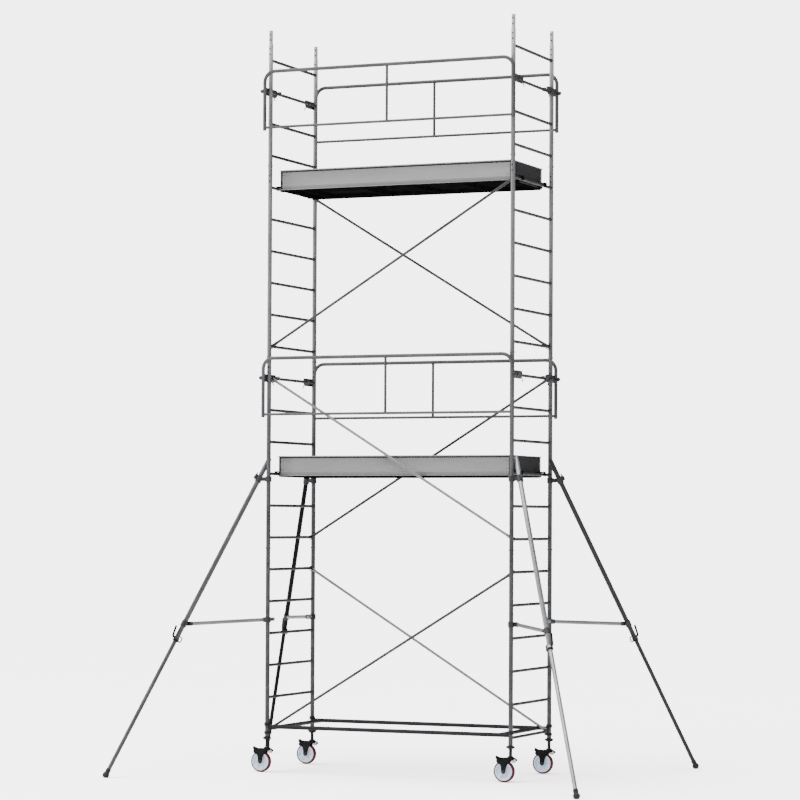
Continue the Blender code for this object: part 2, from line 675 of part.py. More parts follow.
def hatch_mesh():
    """Hatch panel about its hinge line, with a stiffening bar below it and a finger hole."""
    length = HATCH_LENGTH - 2 * HATCH_GAP
    width = HATCH_WIDTH - HATCH_GAP
    ledge_gap = HATCH_LEDGE + HATCH_STIFFENER_GAP
    stiff = HATCH_STIFFENER_WIDTH / 2
    grip = FINGER_HOLE_LENGTH / 2
    grip_y = -width + FINGER_HOLE_MARGIN
    panel = box((-length / 2, -width, -DECK_PLATE + TOUCH_GAP), (length / 2, 0, 0))
    stiffener = box((-length / 2 + ledge_gap, -width / 2 - stiff, -DECK_PLATE - HATCH_STIFFENER_DEPTH),
                    (length / 2 - ledge_gap, -width / 2 + stiff, -DECK_PLATE / 2))
    hole = box((-grip, grip_y, -DECK_PLATE - CUT_OVER), (grip, grip_y + FINGER_HOLE_WIDTH, CUT_OVER))
    return cut(united(panel, stiffener), hole)


def make_decks():
    tray, boards, hatch = deck_mesh(), toe_board_mesh(), hatch_mesh()
    for level, rung in DECK_RUNGS.items():
        height = rung_height(rung)
        part(f"{level}_deck", tray, DECK_DARK, (0, 0, height))
        part(f"{level}_toe_boards", boards, ALUMINIUM, (0, 0, height))
        hinge = ((HATCH_X_LOW + HATCH_X_HIGH) / 2, HATCH_WIDTH / 2, height + DECK_TOP_RISE)
        part(f"{level}_hatch", hatch, PLYWOOD, hinge)


# ---- castors and jacks -------------------------------------------------------------------------


def stem_mesh():
    """Jack stem about the post axis, standing on the castor's head by a flange with a king pin."""
    radius = JACK_STEM_DIAMETER / 2
    top = POST_FOOT_HEIGHT + JACK_STEM_INSIDE
    base = FORK_TOP_HEIGHT + TOUCH_GAP
    pin = KING_PIN_DIAMETER / 2
    return turned([
        (0, top), (radius - JACK_STEM_CHAMFER, top), (radius, top - JACK_STEM_CHAMFER),
        (radius, base + JACK_FLANGE_HEIGHT),
        (JACK_FLANGE_DIAMETER / 2, base + JACK_FLANGE_HEIGHT), (JACK_FLANGE_DIAMETER / 2, base),
        (pin, base), (pin, base - KING_PIN_LENGTH), (0, base - KING_PIN_LENGTH),
    ], POST_SIDES)


def nut_mesh():
    """Adjusting nut under the post, with two lugs."""
    top = POST_FOOT_HEIGHT - TOUCH_GAP
    low = top - JACK_NUT_HEIGHT
    inner = JACK_STEM_DIAMETER / 2 + FIT_GAP
    body = ring(inner, JACK_NUT_DIAMETER / 2 - inner, low, top, POST_SIDES)
    near = inner + JACK_LUG_INSET
    far = JACK_NUT_DIAMETER / 2 + JACK_NUT_LUG
    half = JACK_LUG_WIDTH / 2
    spans = [sorted((s * near, s * far)) for s in (-1, 1)]
    lugs = [
        box((start, -half, low + JACK_LUG_INSET), (end, half, top - JACK_LUG_INSET))
        for start, end in spans
    ]
    return united(body, *lugs)


def wheel_mesh():
    """Wheel about its axle along Y: hub, recessed web, rim and tread."""
    outer = WHEEL_DIAMETER / 2 / math.cos(math.pi / WHEEL_SIDES)
    rim, hub = outer - WHEEL_RIM_DEPTH, WHEEL_HUB_DIAMETER / 2
    bore = AXLE_DIAMETER / 2 + FIT_GAP
    half, web, boss = WHEEL_WIDTH / 2, WHEEL_WEB_WIDTH / 2, WHEEL_HUB_WIDTH / 2
    side = [(bore, boss), (hub, boss), (hub + WHEEL_DRAFT, web), (rim - WHEEL_DRAFT, web), (rim, half)]
    side += [(outer - TREAD_CROWN, half), (outer, half - TREAD_SHOULDER)]
    profile = side + [(radius, -height) for radius, height in reversed(side)]
    mesh = turned(profile, WHEEL_SIDES, closed=True)
    mesh = moved(mesh, Matrix.Rotation(math.pi / WHEEL_SIDES, 4, "Z"))
    return moved(mesh, Matrix.Rotation(math.radians(90), 4, "X"))


def fork_mesh():
    """Castor head and fork about the stem axis, with the axle and the release arm in front."""
    axle_z = WHEEL_DIAMETER / 2
    head_low = FORK_TOP_HEIGHT - FORK_HEAD_HEIGHT
    head = rod((0, 0, head_low), (0, 0, FORK_TOP_HEIGHT), FORK_HEAD_DIAMETER, BAND_SIDES)
    inner = WHEEL_HUB_WIDTH / 2 + FORK_SIDE_GAP
    outline = [
        (0.030, FORK_TOP_HEIGHT - FORK_HEAD_SET), (0.032, head_low - FORK_HEAD_SET),
        (-WHEEL_TRAIL + 0.018, axle_z - 0.008),
        *arc((-WHEEL_TRAIL, axle_z), FORK_LEG_WIDTH / 2, -25, -180, 5),
        (-0.034, head_low), (-0.030, FORK_TOP_HEIGHT - FORK_HEAD_SET),
    ]
    legs = []
    for sign in (-1, 1):
        leg = flat_shape(outline, FORK_PLATE)
        legs.append(moved(leg, Matrix.Translation((0, sign * (inner + FORK_PLATE / 2), 0))))
    reach = inner + FORK_PLATE
    tip = reach + AXLE_HEAD_HEIGHT / 2
    axle = rod((-WHEEL_TRAIL, -tip, axle_z), (-WHEEL_TRAIL, tip, axle_z), AXLE_DIAMETER, TUBE_SIDES)
    spans = [(s * (reach - SINK), s * (reach + AXLE_HEAD_HEIGHT)) for s in (-1, 1)]
    ends = [
        rod((-WHEEL_TRAIL, start, axle_z), (-WHEEL_TRAIL, end, axle_z), AXLE_HEAD_DIAMETER, 6)
        for start, end in spans
    ]
    arm = bent_tube(
        [(0.024, 0, FORK_TOP_HEIGHT - 0.010)]
        + [(x, 0, z) for x, z in arc((0.034, FORK_TOP_HEIGHT - 0.036), RELEASE_ARM_RADIUS, 80, 10, 4)],
        RELEASE_ARM_DIAMETER,
    )
    hole = rod((0, 0, FORK_TOP_HEIGHT - KING_PIN_LENGTH - 2 * SINK), (0, 0, FORK_TOP_HEIGHT + CUT_OVER),
               (KING_PIN_DIAMETER + 2 * FIT_GAP) / math.cos(math.pi / POST_SIDES), POST_SIDES)
    cheeks = []
    for sign in (-1, 1):
        near = PEDAL_WIDTH / 2 + CHEEK_GAP
        ys = sorted((sign * near, sign * (near + CHEEK_THICKNESS)))
        cheeks.append(box((-PEDAL_HINGE_BACK - CHEEK_BACK, ys[0], PEDAL_HINGE_HEIGHT - 0.008),
                          (-FORK_HEAD_DIAMETER / 2 + 0.012, ys[1], PEDAL_HINGE_HEIGHT + 0.006)))
    return cut(united(head, *legs, axle, *ends, arm, *cheeks), hole)


def pedal_mesh():
    """Brake pedal about its hinge: a lever out behind the head with a turned-up toe."""
    hub = PEDAL_THICKNESS / 2 + PEDAL_HUB_WALL
    reach = PEDAL_REACH
    outline = [
        *arc((0, 0), hub, -60, 80, 5),
        (-reach * 0.45, 0.0), (-reach * 0.85, 0.007), (-reach, 0.018), (-reach - 0.006, 0.010),
        (-reach * 0.92, -0.006), (-reach * 0.80, -0.018), (-reach * 0.45, -0.012),
    ]
    return flat_shape(outline, PEDAL_WIDTH)


def make_castors():
    stem, nut, wheel = stem_mesh(), nut_mesh(), wheel_mesh()
    fork, pedal = fork_mesh(), pedal_mesh()
    for corner, (x_sign, y_sign) in CORNERS.items():
        axis = bpy.data.objects.new(f"{corner}_jack_axis", None)
        tower.objects.link(axis)
        axis.location = (x_sign * POST_X, y_sign * POST_Y, 0)
        part(f"{corner}_jack_stem", stem, GALVANISED, parent=axis)
        part(f"{corner}_jack_nut", nut, DARK_TUBE, parent=axis)
        part(f"{corner}_castor_fork", fork, BLACK_STEEL, parent=axis)
        part(f"{corner}_castor_wheel", wheel, NYLON, (-WHEEL_TRAIL, 0, WHEEL_DIAMETER / 2), parent=axis)
        part(f"{corner}_brake_pedal", pedal, BLACK_STEEL,
             (-PEDAL_HINGE_BACK, 0, PEDAL_HINGE_HEIGHT), parent=axis)


# ---- stabilisers -------------------------------------------------------------------------------

LEG_DROP = Vector((STABILISER_REACH, 0, FOOT_CENTRE_HEIGHT - STABILISER_APEX_HEIGHT))
LEG_DIRECTION = LEG_DROP.normalized()


def leg_point(height):
    """Point on the leg's axis at a height, in the leg's plane."""
    apex = Vector((0, 0, STABILISER_APEX_HEIGHT))
    return apex + LEG_DIRECTION * ((height - STABILISER_APEX_HEIGHT) / LEG_DIRECTION.z)


def along_leg(mesh, height, side):
    """Places a mesh made down -Z from the origin so that it runs down the leg from a height."""
    turn = Vector((0, 0, -1)).rotation_difference(LEG_DIRECTION).to_matrix().to_4x4()
    offset = Vector((0, side * STABILISER_OFFSET, 0))
    return moved(mesh, Matrix.Translation(leg_point(height) + offset) @ turn)


def coupler(height, reach_point, side):
    """Band round the post with an arm to a point beside it."""
    inner = POST_RADIUS + TOUCH_GAP
    low, high = height - COUPLER_HEIGHT / 2, height + COUPLER_HEIGHT / 2
    band = ring(inner, COUPLER_WALL, low, high)
    target = Vector((reach_point.x, side * STABILISER_OFFSET, 0))
    angle = math.atan2(target.y, target.x)
    half = COUPLER_ARM_WIDTH / 2
    arm = box((inner + COUPLER_ARM_ROOT, -half, low + COUPLER_ARM_SET),
              (target.length, half, high - COUPLER_ARM_SET))
    return [band, moved(arm, Matrix.Rotation(angle, 4, "Z"))]


def leg_mesh(side):
    """Outer tube with the coupler at the top, the lock collar below and the strut's lug."""
    length = (STABILISER_TOP_HEIGHT - STABILISER_SLEEVE_HEIGHT) / -LEG_DIRECTION.z
    radius, bore = STABILISER_TUBE_DIAMETER / 2, STABILISER_BORE_DIAMETER / 2
    collar = radius + STABILISER_COLLAR_WALL
    profile = [
        (0, 0), (radius, 0), (radius, -length + STABILISER_COLLAR_LENGTH),
        (collar, -length + STABILISER_COLLAR_LENGTH - STABILISER_COLLAR_SLOPE), (collar, -length),
        (bore, -length),
        (bore, -length + STABILISER_BORE_DEPTH), (0, -length + STABILISER_BORE_DEPTH),
    ]
    tube = along_leg(turned(profile, POST_SIDES), STABILISER_TOP_HEIGHT, side)
    clamp_point = leg_point(UPPER_COUPLER_HEIGHT)
    wide, tall = CLAMP_DIAMETER / 2, CLAMP_LENGTH / 2
    clamp = turned([(0, tall), (wide, tall), (wide, -tall), (0, -tall)], POST_SIDES)
    clamp = along_leg(clamp, UPPER_COUPLER_HEIGHT, side)
    joint = leg_point(STRUT_LEG_HEIGHT)
    half = STRUT_LUG_THICKNESS / 2
    y = side * STABILISER_OFFSET
    tall = STRUT_LUG_HEIGHT / 2
    lug = box((joint.x - STRUT_LUG_LENGTH, y - half, STRUT_LEG_HEIGHT - tall),
              (joint.x - bore - SINK, y + half, STRUT_LEG_HEIGHT + tall))
    pin_x = joint.x - STRUT_LUG_LENGTH + STRUT_PIN_INSET
    reach = half + CUT_OVER
    hole = rod((pin_x, y - reach, STRUT_LEG_HEIGHT), (pin_x, y + reach, STRUT_LEG_HEIGHT),
               STRUT_PIN_DIAMETER + 2 * FIT_GAP, TUBE_SIDES)
    solid = united(tube, clamp, *coupler(UPPER_COUPLER_HEIGHT, clamp_point, side), cut(lug, hole))
    depth = -STABILISER_BORE_DEPTH - CUT_OVER
    clear = turned([(0, 0), (bore, 0), (bore, depth), (0, depth)], POST_SIDES)
    start = STABILISER_SLEEVE_HEIGHT - STABILISER_BORE_DEPTH * LEG_DIRECTION.z
    return cut(solid, along_leg(clear, start, side))


def inner_mesh(side):
    """Sliding inner tube with the foot, cut flat on the floor."""
    radius = STABILISER_INNER_DIAMETER / 2
    top = STABILISER_SLEEVE_HEIGHT - STABILISER_OVERLAP * LEG_DIRECTION.z
    length = (top - FOOT_CENTRE_HEIGHT) / -LEG_DIRECTION.z
    foot = FOOT_DIAMETER / 2
    ball = arc((0, -length), foot, 50, -90, 6)
    profile = [(0, 0), (radius, 0), (radius, -length + FOOT_SLEEVE_LENGTH),
               (radius + FOOT_SLEEVE_WALL, -length + FOOT_SLEEVE_LENGTH), *ball[:-1], (0, -length - foot)]
    mesh = along_leg(turned(profile, POST_SIDES), top, side)
    ground = box((STABILISER_REACH - GROUND_CUT, -GROUND_CUT, -GROUND_CUT),
                 (STABILISER_REACH + GROUND_CUT, GROUND_CUT, 0.0))
    return cut(mesh, ground)


def strut_mesh(side):
    """Strut from beyond the post to the leg's lug, with its own coupler, end cheeks and pin."""
    joint = leg_point(STRUT_LEG_HEIGHT)
    pin_x = joint.x - STRUT_LUG_LENGTH + STRUT_PIN_INSET
    y = side * STABILISER_OFFSET
    slope = (STRUT_LEG_HEIGHT - STRUT_POST_HEIGHT) / pin_x
    tail = (-STRUT_TAIL, y, STRUT_POST_HEIGHT - slope * STRUT_TAIL)
    end_x = joint.x - STRUT_LUG_LENGTH - STRUT_END_GAP
    tube = rod(tail, (end_x, y, STRUT_POST_HEIGHT + slope * end_x), STRUT_DIAMETER, TUBE_SIDES)
    half = STRUT_LUG_THICKNESS / 2 + TOUCH_GAP * 2
    cheeks = []
    for sign in (-1, 1):
        ys = sorted((y + sign * half, y + sign * (half + STRUT_CHEEK_THICKNESS)))
        cheeks.append(box((end_x - CHEEK_OVERLAP, ys[0], STRUT_LEG_HEIGHT - STRUT_CHEEK_HEIGHT / 2),
                          (pin_x + STRUT_CHEEK_OVER, ys[1], STRUT_LEG_HEIGHT + STRUT_CHEEK_HEIGHT / 2)))
    out = half + STRUT_PIN_OVER
    pin = rod((pin_x, y - out, STRUT_LEG_HEIGHT), (pin_x, y + out, STRUT_LEG_HEIGHT),
              STRUT_PIN_DIAMETER, TUBE_SIDES)
    bands = coupler(STRUT_POST_HEIGHT, Vector((0, 0, 0)), side)
    return united(tube, *cheeks, pin, *bands)


def make_stabilisers():
    for corner, (x_sign, y_sign) in CORNERS.items():
        side = 1 if x_sign != y_sign else -1
        turn = math.degrees(math.atan2(y_sign * math.sin(math.radians(STABILISER_ANGLE)),
                                       x_sign * math.cos(math.radians(STABILISER_ANGLE))))
        place = (x_sign * POST_X, y_sign * POST_Y, 0)
        part(f"{corner}_stabiliser_leg", leg_mesh(side), BRIGHT_TUBE, place, turn)
        part(f"{corner}_stabiliser_inner_tube", inner_mesh(side), BRIGHT_TUBE, place, turn)
        part(f"{corner}_stabiliser_strut", strut_mesh(side), BRIGHT_TUBE, place, turn)


make_ladders()
make_base_frame()
make_braces()
make_guardrails()
make_decks()
make_castors()
make_stabilisers()
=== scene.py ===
"""Mobile tower scaffold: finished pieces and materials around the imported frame."""
import math

import bmesh
import bpy
from mathutils import Matrix, Vector


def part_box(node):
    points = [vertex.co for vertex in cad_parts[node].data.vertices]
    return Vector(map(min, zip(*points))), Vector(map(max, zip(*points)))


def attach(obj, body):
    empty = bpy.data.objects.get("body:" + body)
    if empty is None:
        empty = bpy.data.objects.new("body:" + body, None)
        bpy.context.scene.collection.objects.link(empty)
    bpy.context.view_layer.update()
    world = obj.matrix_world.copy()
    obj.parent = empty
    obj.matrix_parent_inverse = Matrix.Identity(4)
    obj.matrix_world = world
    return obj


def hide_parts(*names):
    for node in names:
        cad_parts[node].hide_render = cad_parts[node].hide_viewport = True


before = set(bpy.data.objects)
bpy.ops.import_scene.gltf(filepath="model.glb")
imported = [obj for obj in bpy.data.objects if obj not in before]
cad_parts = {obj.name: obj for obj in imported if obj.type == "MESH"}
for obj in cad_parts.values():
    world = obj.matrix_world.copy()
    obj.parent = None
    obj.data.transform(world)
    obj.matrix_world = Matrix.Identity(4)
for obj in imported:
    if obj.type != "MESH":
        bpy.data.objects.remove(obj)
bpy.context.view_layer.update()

# ---- sizes, in metres ----

POST_RADIUS = 0.021
POST_BORE_RADIUS = 0.0185
SPIGOT_RADIUS = 0.018
SPIGOT_BORE_RADIUS = 0.0150
SPIGOT_LENGTH = 0.130
POST_CHAMFER = 0.0015
RUNG_DIAMETER = 0.028
RUNG_PITCH = 0.300
RUNGS_PER_FRAME = (6, 6, 6, 4)
FIRST_TAIL = 0.066
PIN_ABOVE_JOINT = 0.050
POST_HOLE_DROPS = (0.045, 0.095)
SPIGOT_HOLE_DROPS = (0.035, 0.090)
FOOT_BORE_DEPTH = 0.300
JOINT_BORE_DEPTH = 0.135
FIT_GAP = 0.0003
PROUD = 0.0001

TUBE_SIDES = 20
RUNG_SIDES = 16
SMALL_SIDES = 10
SMOOTH_ANGLE = math.radians(38)
BEND_STEPS = 7
THREAD_STEPS = 18
CREST_SIDES = 6

LEG_APEX = 2.890
LEG_TOP = 2.950
SLEEVE_END = 1.240
FOOT_HEIGHT = 0.026
LEG_REACH = 1.590
LEG_OFFSET = 0.052
LEG_ANGLE = math.radians(50)
UPPER_COUPLER = 2.752
STRUT_AT_POST = 1.430
STRUT_AT_LEG = 1.400
STRUT_DIAMETER = 0.035
LEG_RADIUS = 0.0225
LEG_BORE_RADIUS = 0.01975
FOOT_TUBE_RADIUS = 0.019
FOOT_TUBE_OVERLAP = 0.450
FIRST_LOCK_HOLE = 0.520
LOCK_HOLE_PITCH = 0.100
LOCK_HOLES = 9

CORNERS = {"front_left": (-1, -1), "front_right": (1, -1), "back_left": (-1, 1), "back_right": (1, 1)}


def centre(node):
    low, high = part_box(node)
    return (Vector(low) + Vector(high)) / 2


POST_X = centre("front_right_jack_stem").x
POST_Y = centre("back_right_jack_stem").y
POST_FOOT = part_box("left_ladder_1")[0][2]
FIRST_RUNG = POST_FOOT + FIRST_TAIL


def rung_height(number):
    return FIRST_RUNG + (number - 1) * RUNG_PITCH


# ---- materials ----


class Finish:
    """A node material under construction."""

    def __init__(self, name):
        self.material = bpy.data.materials.new(name)
        self.material.use_nodes = True
        self.nodes = self.material.node_tree.nodes
        self.links = self.material.node_tree.links
        self.shader = self.nodes["Principled BSDF"]
        self.place = self.add("ShaderNodeTexCoord").outputs["Object"]

    def add(self, kind, settings=None, **inputs):
        node = self.nodes.new(kind)
        for key, value in (settings or {}).items():
            setattr(node, key, value)
        for key, value in inputs.items():
            self.feed(node.inputs[key.replace("_", " ")], value)
        return node

    def feed(self, socket, value):
        if isinstance(value, bpy.types.NodeSocket):
            self.links.new(value, socket)
        else:
            socket.default_value = value

    def noise(self, scale, stretch=(1, 1, 1), detail=4.0, rough=0.55):
        turned = self.add("ShaderNodeMapping", Vector=self.place, Scale=stretch)
        made = self.add("ShaderNodeTexNoise", Vector=turned.outputs[0], Scale=scale, Detail=detail,
                        Roughness=rough)
        return made.outputs[0]

    def cells(self, scale):
        made = self.add("ShaderNodeTexVoronoi", Vector=self.place, Scale=scale)
        return self.add("ShaderNodeRGBToBW", Color=made.outputs["Color"]).outputs[0]

    def spread(self, value, low, high, to_low=0.0, to_high=1.0):
        made = self.add("ShaderNodeMapRange", Value=value, From_Min=low, From_Max=high,
                        To_Min=to_low, To_Max=to_high)
        return made.outputs[0]

    def blend(self, amount, first, second, mode="MIX"):
        made = self.nodes.new("ShaderNodeMix")
        made.data_type = "RGBA"
        made.blend_type = mode
        self.feed(made.inputs[0], amount)
        for socket, value in ((made.inputs[6], first), (made.inputs[7], second)):
            self.feed(socket, (*value, 1.0) if isinstance(value, tuple) else value)
        return made.outputs[2]

    def maths(self, operation, first, second):
        made = self.nodes.new("ShaderNodeMath")
        made.operation = operation
        self.feed(made.inputs[0], first)
        self.feed(made.inputs[1], second)
        return made.outputs[0]

    def scaled(self, value, amount):
        return self.maths("MULTIPLY", value, amount)

    def height(self):
        return self.add("ShaderNodeSeparateXYZ", Vector=self.place).outputs["Z"]

    def done(self, colour, roughness, metallic=0.0, relief=None, strength=0.2, depth=0.001, sheen=0.5,
             edge=1.0):
        self.feed(self.shader.inputs["Base Color"], colour)
        self.feed(self.shader.inputs["Roughness"], roughness)
        self.shader.inputs["Metallic"].default_value = metallic
        self.shader.inputs["Specular IOR Level"].default_value = sheen
        self.shader.inputs["Specular Tint"].default_value = (edge, edge, edge, 1.0)
        if relief is not None:
            bump = self.add("ShaderNodeBump", Height=relief, Strength=strength, Distance=depth)
            self.links.new(bump.outputs[0], self.shader.inputs["Normal"])
        return self.material


# Near-black blended into the zinc low down, mottled: painted shade, darker towards the bottom.
LOW_SHADE = (0.012, 0.012, 0.013)
LOW_SHADE_HEIGHTS = (2.4, 5.4)
# Pale zinc blended in near the tops of the posts: painted light.
PAINTED_TOP_LIGHT = (0.30, 0.305, 0.31)
TOP_LIGHT_HEIGHTS = (6.45, 6.80)
BARE_METAL = (0.24, 0.23, 0.22)
BOARD_GRAIN = (0.02, 0.02, 1.0)


def zinc_coated(name, light, dark, roughness, metallic, low_shade, sheen=0.5, top_light=0.0):
    """Galvanised tube: spangle, clouds and run marks, with painted shade that darkens it low down and painted
    light that brightens it at the tips.
    """
    made = Finish(name)
    clouds = made.spread(made.noise(3.0), 0.25, 0.75)
    runs = made.spread(made.noise(38.0, (1.0, 1.0, 0.12), 6.0, 0.65), 0.38, 0.66)
    spangle = made.cells(150.0)
    colour = made.blend(clouds, dark, light)
    colour = made.blend(made.scaled(spangle, 0.06), colour, tuple(c * 1.2 for c in light))
    colour = made.blend(made.scaled(runs, 0.10), colour, tuple(c * 0.65 for c in dark))
    # Painted shade: darker below the lower height, mottled by noise.
    low = made.spread(made.height(), *LOW_SHADE_HEIGHTS, low_shade, 0.0)
    dust_and_shade = made.scaled(low, made.spread(made.noise(16.0), 0.3, 0.7, 0.8, 1.0))
    colour = made.blend(dust_and_shade, colour, LOW_SHADE)
    # Painted light: paler towards the tips.
    top_light_mask = made.spread(made.height(), *TOP_LIGHT_HEIGHTS, 0.0, top_light)
    colour = made.blend(top_light_mask, colour, PAINTED_TOP_LIGHT)
    rough = made.spread(made.noise(22.0), 0.3, 0.7, roughness - 0.08, roughness + 0.12)
    relief = made.maths("ADD", made.scaled(spangle, 0.4), runs)
    return made.done(colour, rough, metallic, relief, 0.05, 0.0006, sheen, 0.25)


def brushed_board(name, light, dark, roughness, metallic, sheen=0.4):
    """Mill-finish board: fine lines along its length, cloudy handling marks and scratches."""
    made = Finish(name)
    lines = made.spread(made.noise(260.0, BOARD_GRAIN, 3.0, 0.7), 0.30, 0.70)
    clouds = made.spread(made.noise(4.0, (0.5, 0.5, 2.0)), 0.35, 0.68)
    marks = made.spread(made.noise(30.0, (0.2, 0.2, 1.4), 8.0, 0.8), 0.60, 0.74)
    colour = made.blend(made.scaled(lines, 0.55), dark, light)
    colour = made.blend(made.scaled(clouds, 0.30), colour, tuple(c * 1.12 for c in light))
    colour = made.blend(made.scaled(marks, 0.35), colour, tuple(c * 0.55 for c in dark))
    rough = made.spread(lines, 0.0, 1.0, roughness - 0.06, roughness + 0.08)
    return made.done(colour, rough, metallic, lines, 0.10, 0.0004, sheen, 0.5)


def painted(name, light, dark, roughness, chips, sheen=0.15):
    """Powder coat: slight orange peel, dust, and chips where metal shows."""
    made = Finish(name)
    dust_and_shade = made.spread(made.noise(14.0), 0.35, 0.70)
    peel = made.noise(420.0, detail=2.0)
    chipped = made.spread(made.noise(75.0, detail=8.0, rough=0.75), 0.70, 0.74)
    colour = made.blend(dust_and_shade, dark, light)
    colour = made.blend(made.scaled(chipped, chips), colour, BARE_METAL)
    rough = made.spread(dust_and_shade, 0.0, 1.0, roughness - 0.05, roughness + 0.15)
    return made.done(colour, rough, 0.0, peel, 0.12, 0.0004, sheen)


def moulded(name, light, dark, roughness, grit):
    """Moulded plastic or rubber: fine texture, scuffs and ground-in dust."""
    made = Finish(name)
    scuffs = made.spread(made.noise(45.0, detail=8.0, rough=0.7), 0.40, 0.70)
    fine = made.noise(grit, detail=2.0)
    colour = made.blend(scuffs, light, dark)
    rough = made.spread(scuffs, 0.0, 1.0, roughness, roughness + 0.2)
    return made.done(colour, rough, 0.0, fine, 0.15, 0.0004, 0.15)


def film_plywood(name, top):
    """Dark film-faced board with a pressed mesh pattern, worn where people stand, with painted near-black
    shade underneath.
    """
    made = Finish(name)
    mesh = made.add("ShaderNodeTexVoronoi", {"feature": "DISTANCE_TO_EDGE"}, Vector=made.place, Scale=190.0)
    edges = made.spread(mesh.outputs["Distance"], 0.0, 0.10)
    worn = made.spread(made.noise(3.0, detail=6.0), 0.42, 0.72)
    flecks = made.spread(made.noise(60.0, (0.3, 1, 1), 5.0), 0.45, 0.7)
    colour = made.blend(worn, (0.035, 0.022, 0.015), (0.110, 0.075, 0.050))
    colour = made.blend(made.scaled(flecks, 0.35), colour, (0.020, 0.014, 0.010))
    colour = made.blend(made.scaled(edges, 0.25), colour, (0.060, 0.045, 0.034))
    # Painted shade: near-black below the top face.
    under = made.spread(made.height(), top - 0.0006, top - 0.0002, 1.0, 0.0)
    colour = made.blend(under, colour, (0.003, 0.003, 0.003))
    rough = made.spread(worn, 0.0, 1.0, 0.55, 0.80)
    return made.done(colour, rough, 0.0, edges, 0.35, 0.0008, 0.0)


# Posts: strong painted shade low down and painted light at the tips.
POST_ZINC = zinc_coated(
    "post_zinc", (0.120, 0.122, 0.126), (0.076, 0.078, 0.081), 0.38, 0.60, 0.85, 0.2, 0.75)
RUNG_ZINC = zinc_coated("rung_zinc", (0.013, 0.013, 0.014), (0.007, 0.007, 0.008), 0.60, 0.0, 0.0, 0.08)
BRACE_ZINC = zinc_coated("brace_zinc", (0.030, 0.031, 0.032), (0.016, 0.016, 0.017), 0.50, 0.10, 0.0, 0.12)
# Lighter copy of the brace zinc: painted light.
BRACE_ZINC_PAINTED_LIGHT = zinc_coated(
    "brace_zinc_painted_light", (0.105, 0.107, 0.110), (0.068, 0.070, 0.073), 0.42, 0.45, 0.0, 0.3)
RAIL_ZINC = zinc_coated("rail_zinc", (0.048, 0.049, 0.051), (0.026, 0.027, 0.028), 0.42, 0.30, 0.0, 0.15)
BASE_ZINC = zinc_coated("base_zinc", (0.011, 0.011, 0.012), (0.006, 0.006, 0.007), 0.58, 0.0, 0.0, 0.08)
# Lit and shaded copies of one leg zinc, one per corner: painted light on front_right, painted shade on the
# others, darkest at back_left.
LEG_LIT_AND_SHADED_COATS = {
    "front_left": ((0.062, 0.064, 0.067), (0.028, 0.029, 0.031), 0.36, 0.35, 0.35, 0.2),
    "front_right": ((0.165, 0.168, 0.174), (0.090, 0.092, 0.096), 0.32, 0.60, 0.0, 0.4),
    "back_left": ((0.004, 0.004, 0.005), (0.002, 0.002, 0.003), 0.60, 0.0, 0.0, 0.03),
    "back_right": ((0.024, 0.025, 0.026), (0.011, 0.011, 0.012), 0.48, 0.10, 0.60, 0.12),
}
LEG_ZINC_LIT_AND_SHADED = {corner: zinc_coated(f"leg_zinc_lit_and_shaded_{corner}", *coat) for corner, coat in LEG_LIT_AND_SHADED_COATS.items()}
STRUT_ZINC = zinc_coated("strut_zinc", (0.110, 0.112, 0.116), (0.066, 0.068, 0.071), 0.38, 0.45, 0.0, 0.3)
HARDWARE = zinc_coated(
    "plated_hardware", (0.024, 0.025, 0.026), (0.009, 0.009, 0.010), 0.44, 0.20, 0.15, 0.15)
WELD = zinc_coated("weld_bead", (0.030, 0.031, 0.033), (0.016, 0.016, 0.017), 0.55, 0.20, 0.20, 0.15)
BOARD = brushed_board("toe_board_long", (0.098, 0.098, 0.099), (0.066, 0.066, 0.067), 0.46, 0.35)
# Near-black copy of the board finish for the end boards: painted shade.
BOARD_END_SHADE = brushed_board("toe_board_end_painted_shade", (0.019, 0.019, 0.020), (0.011, 0.011, 0.012), 0.70, 0.0, 0.02)
# Near-black copy of the board finish: painted shadow in the groove under the top rim, also used for the dark
# strips at the ends of the long boards.
GROOVE_SHADOW_AND_END_STRIPS = brushed_board("toe_board_groove_shadow_and_end_strips", (0.014, 0.014, 0.015), (0.008, 0.008, 0.009), 0.70, 0.0, 0.02)
LIGHT_PLATE = zinc_coated("light_plate", (0.30, 0.31, 0.32), (0.20, 0.21, 0.22), 0.40, 0.30, 0.0)
# Lighter copy of the board finish for the rims and the hatch trim: painted highlight.
RIM_HIGHLIGHT = brushed_board("toe_board_rim_highlight", (0.150, 0.150, 0.153), (0.105, 0.105, 0.107), 0.36, 0.50)
DECK_BLACK = painted("deck_black", (0.003, 0.003, 0.003), (0.001, 0.001, 0.001), 0.70, 0.03, 0.0)
CASTOR_BLACK = painted("castor_black", (0.003, 0.003, 0.003), (0.001, 0.001, 0.001), 0.50, 0.05, 0.05)
# Near-black for the insides of holes: painted shade.
HOLE_SHADE = moulded("hole_painted_shade", (0.010, 0.010, 0.010), (0.004, 0.004, 0.004), 0.8, 300.0)
NYLON = moulded("wheel_nylon", (0.29, 0.345, 0.425), (0.20, 0.24, 0.30), 0.40, 500.0)
TREAD = moulded("wheel_tread", (0.040, 0.002, 0.006), (0.018, 0.001, 0.004), 0.60, 600.0)
RUBBER = moulded("foot_rubber", (0.004, 0.004, 0.004), (0.010, 0.010, 0.009), 0.70, 500.0)
PLYWOOD = {level: film_plywood(f"film_plywood_{level}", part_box(f"{level}_hatch")[1][2])
           for level in ("lower", "upper")}

# ---- node trees for tubes, threads and copies ----


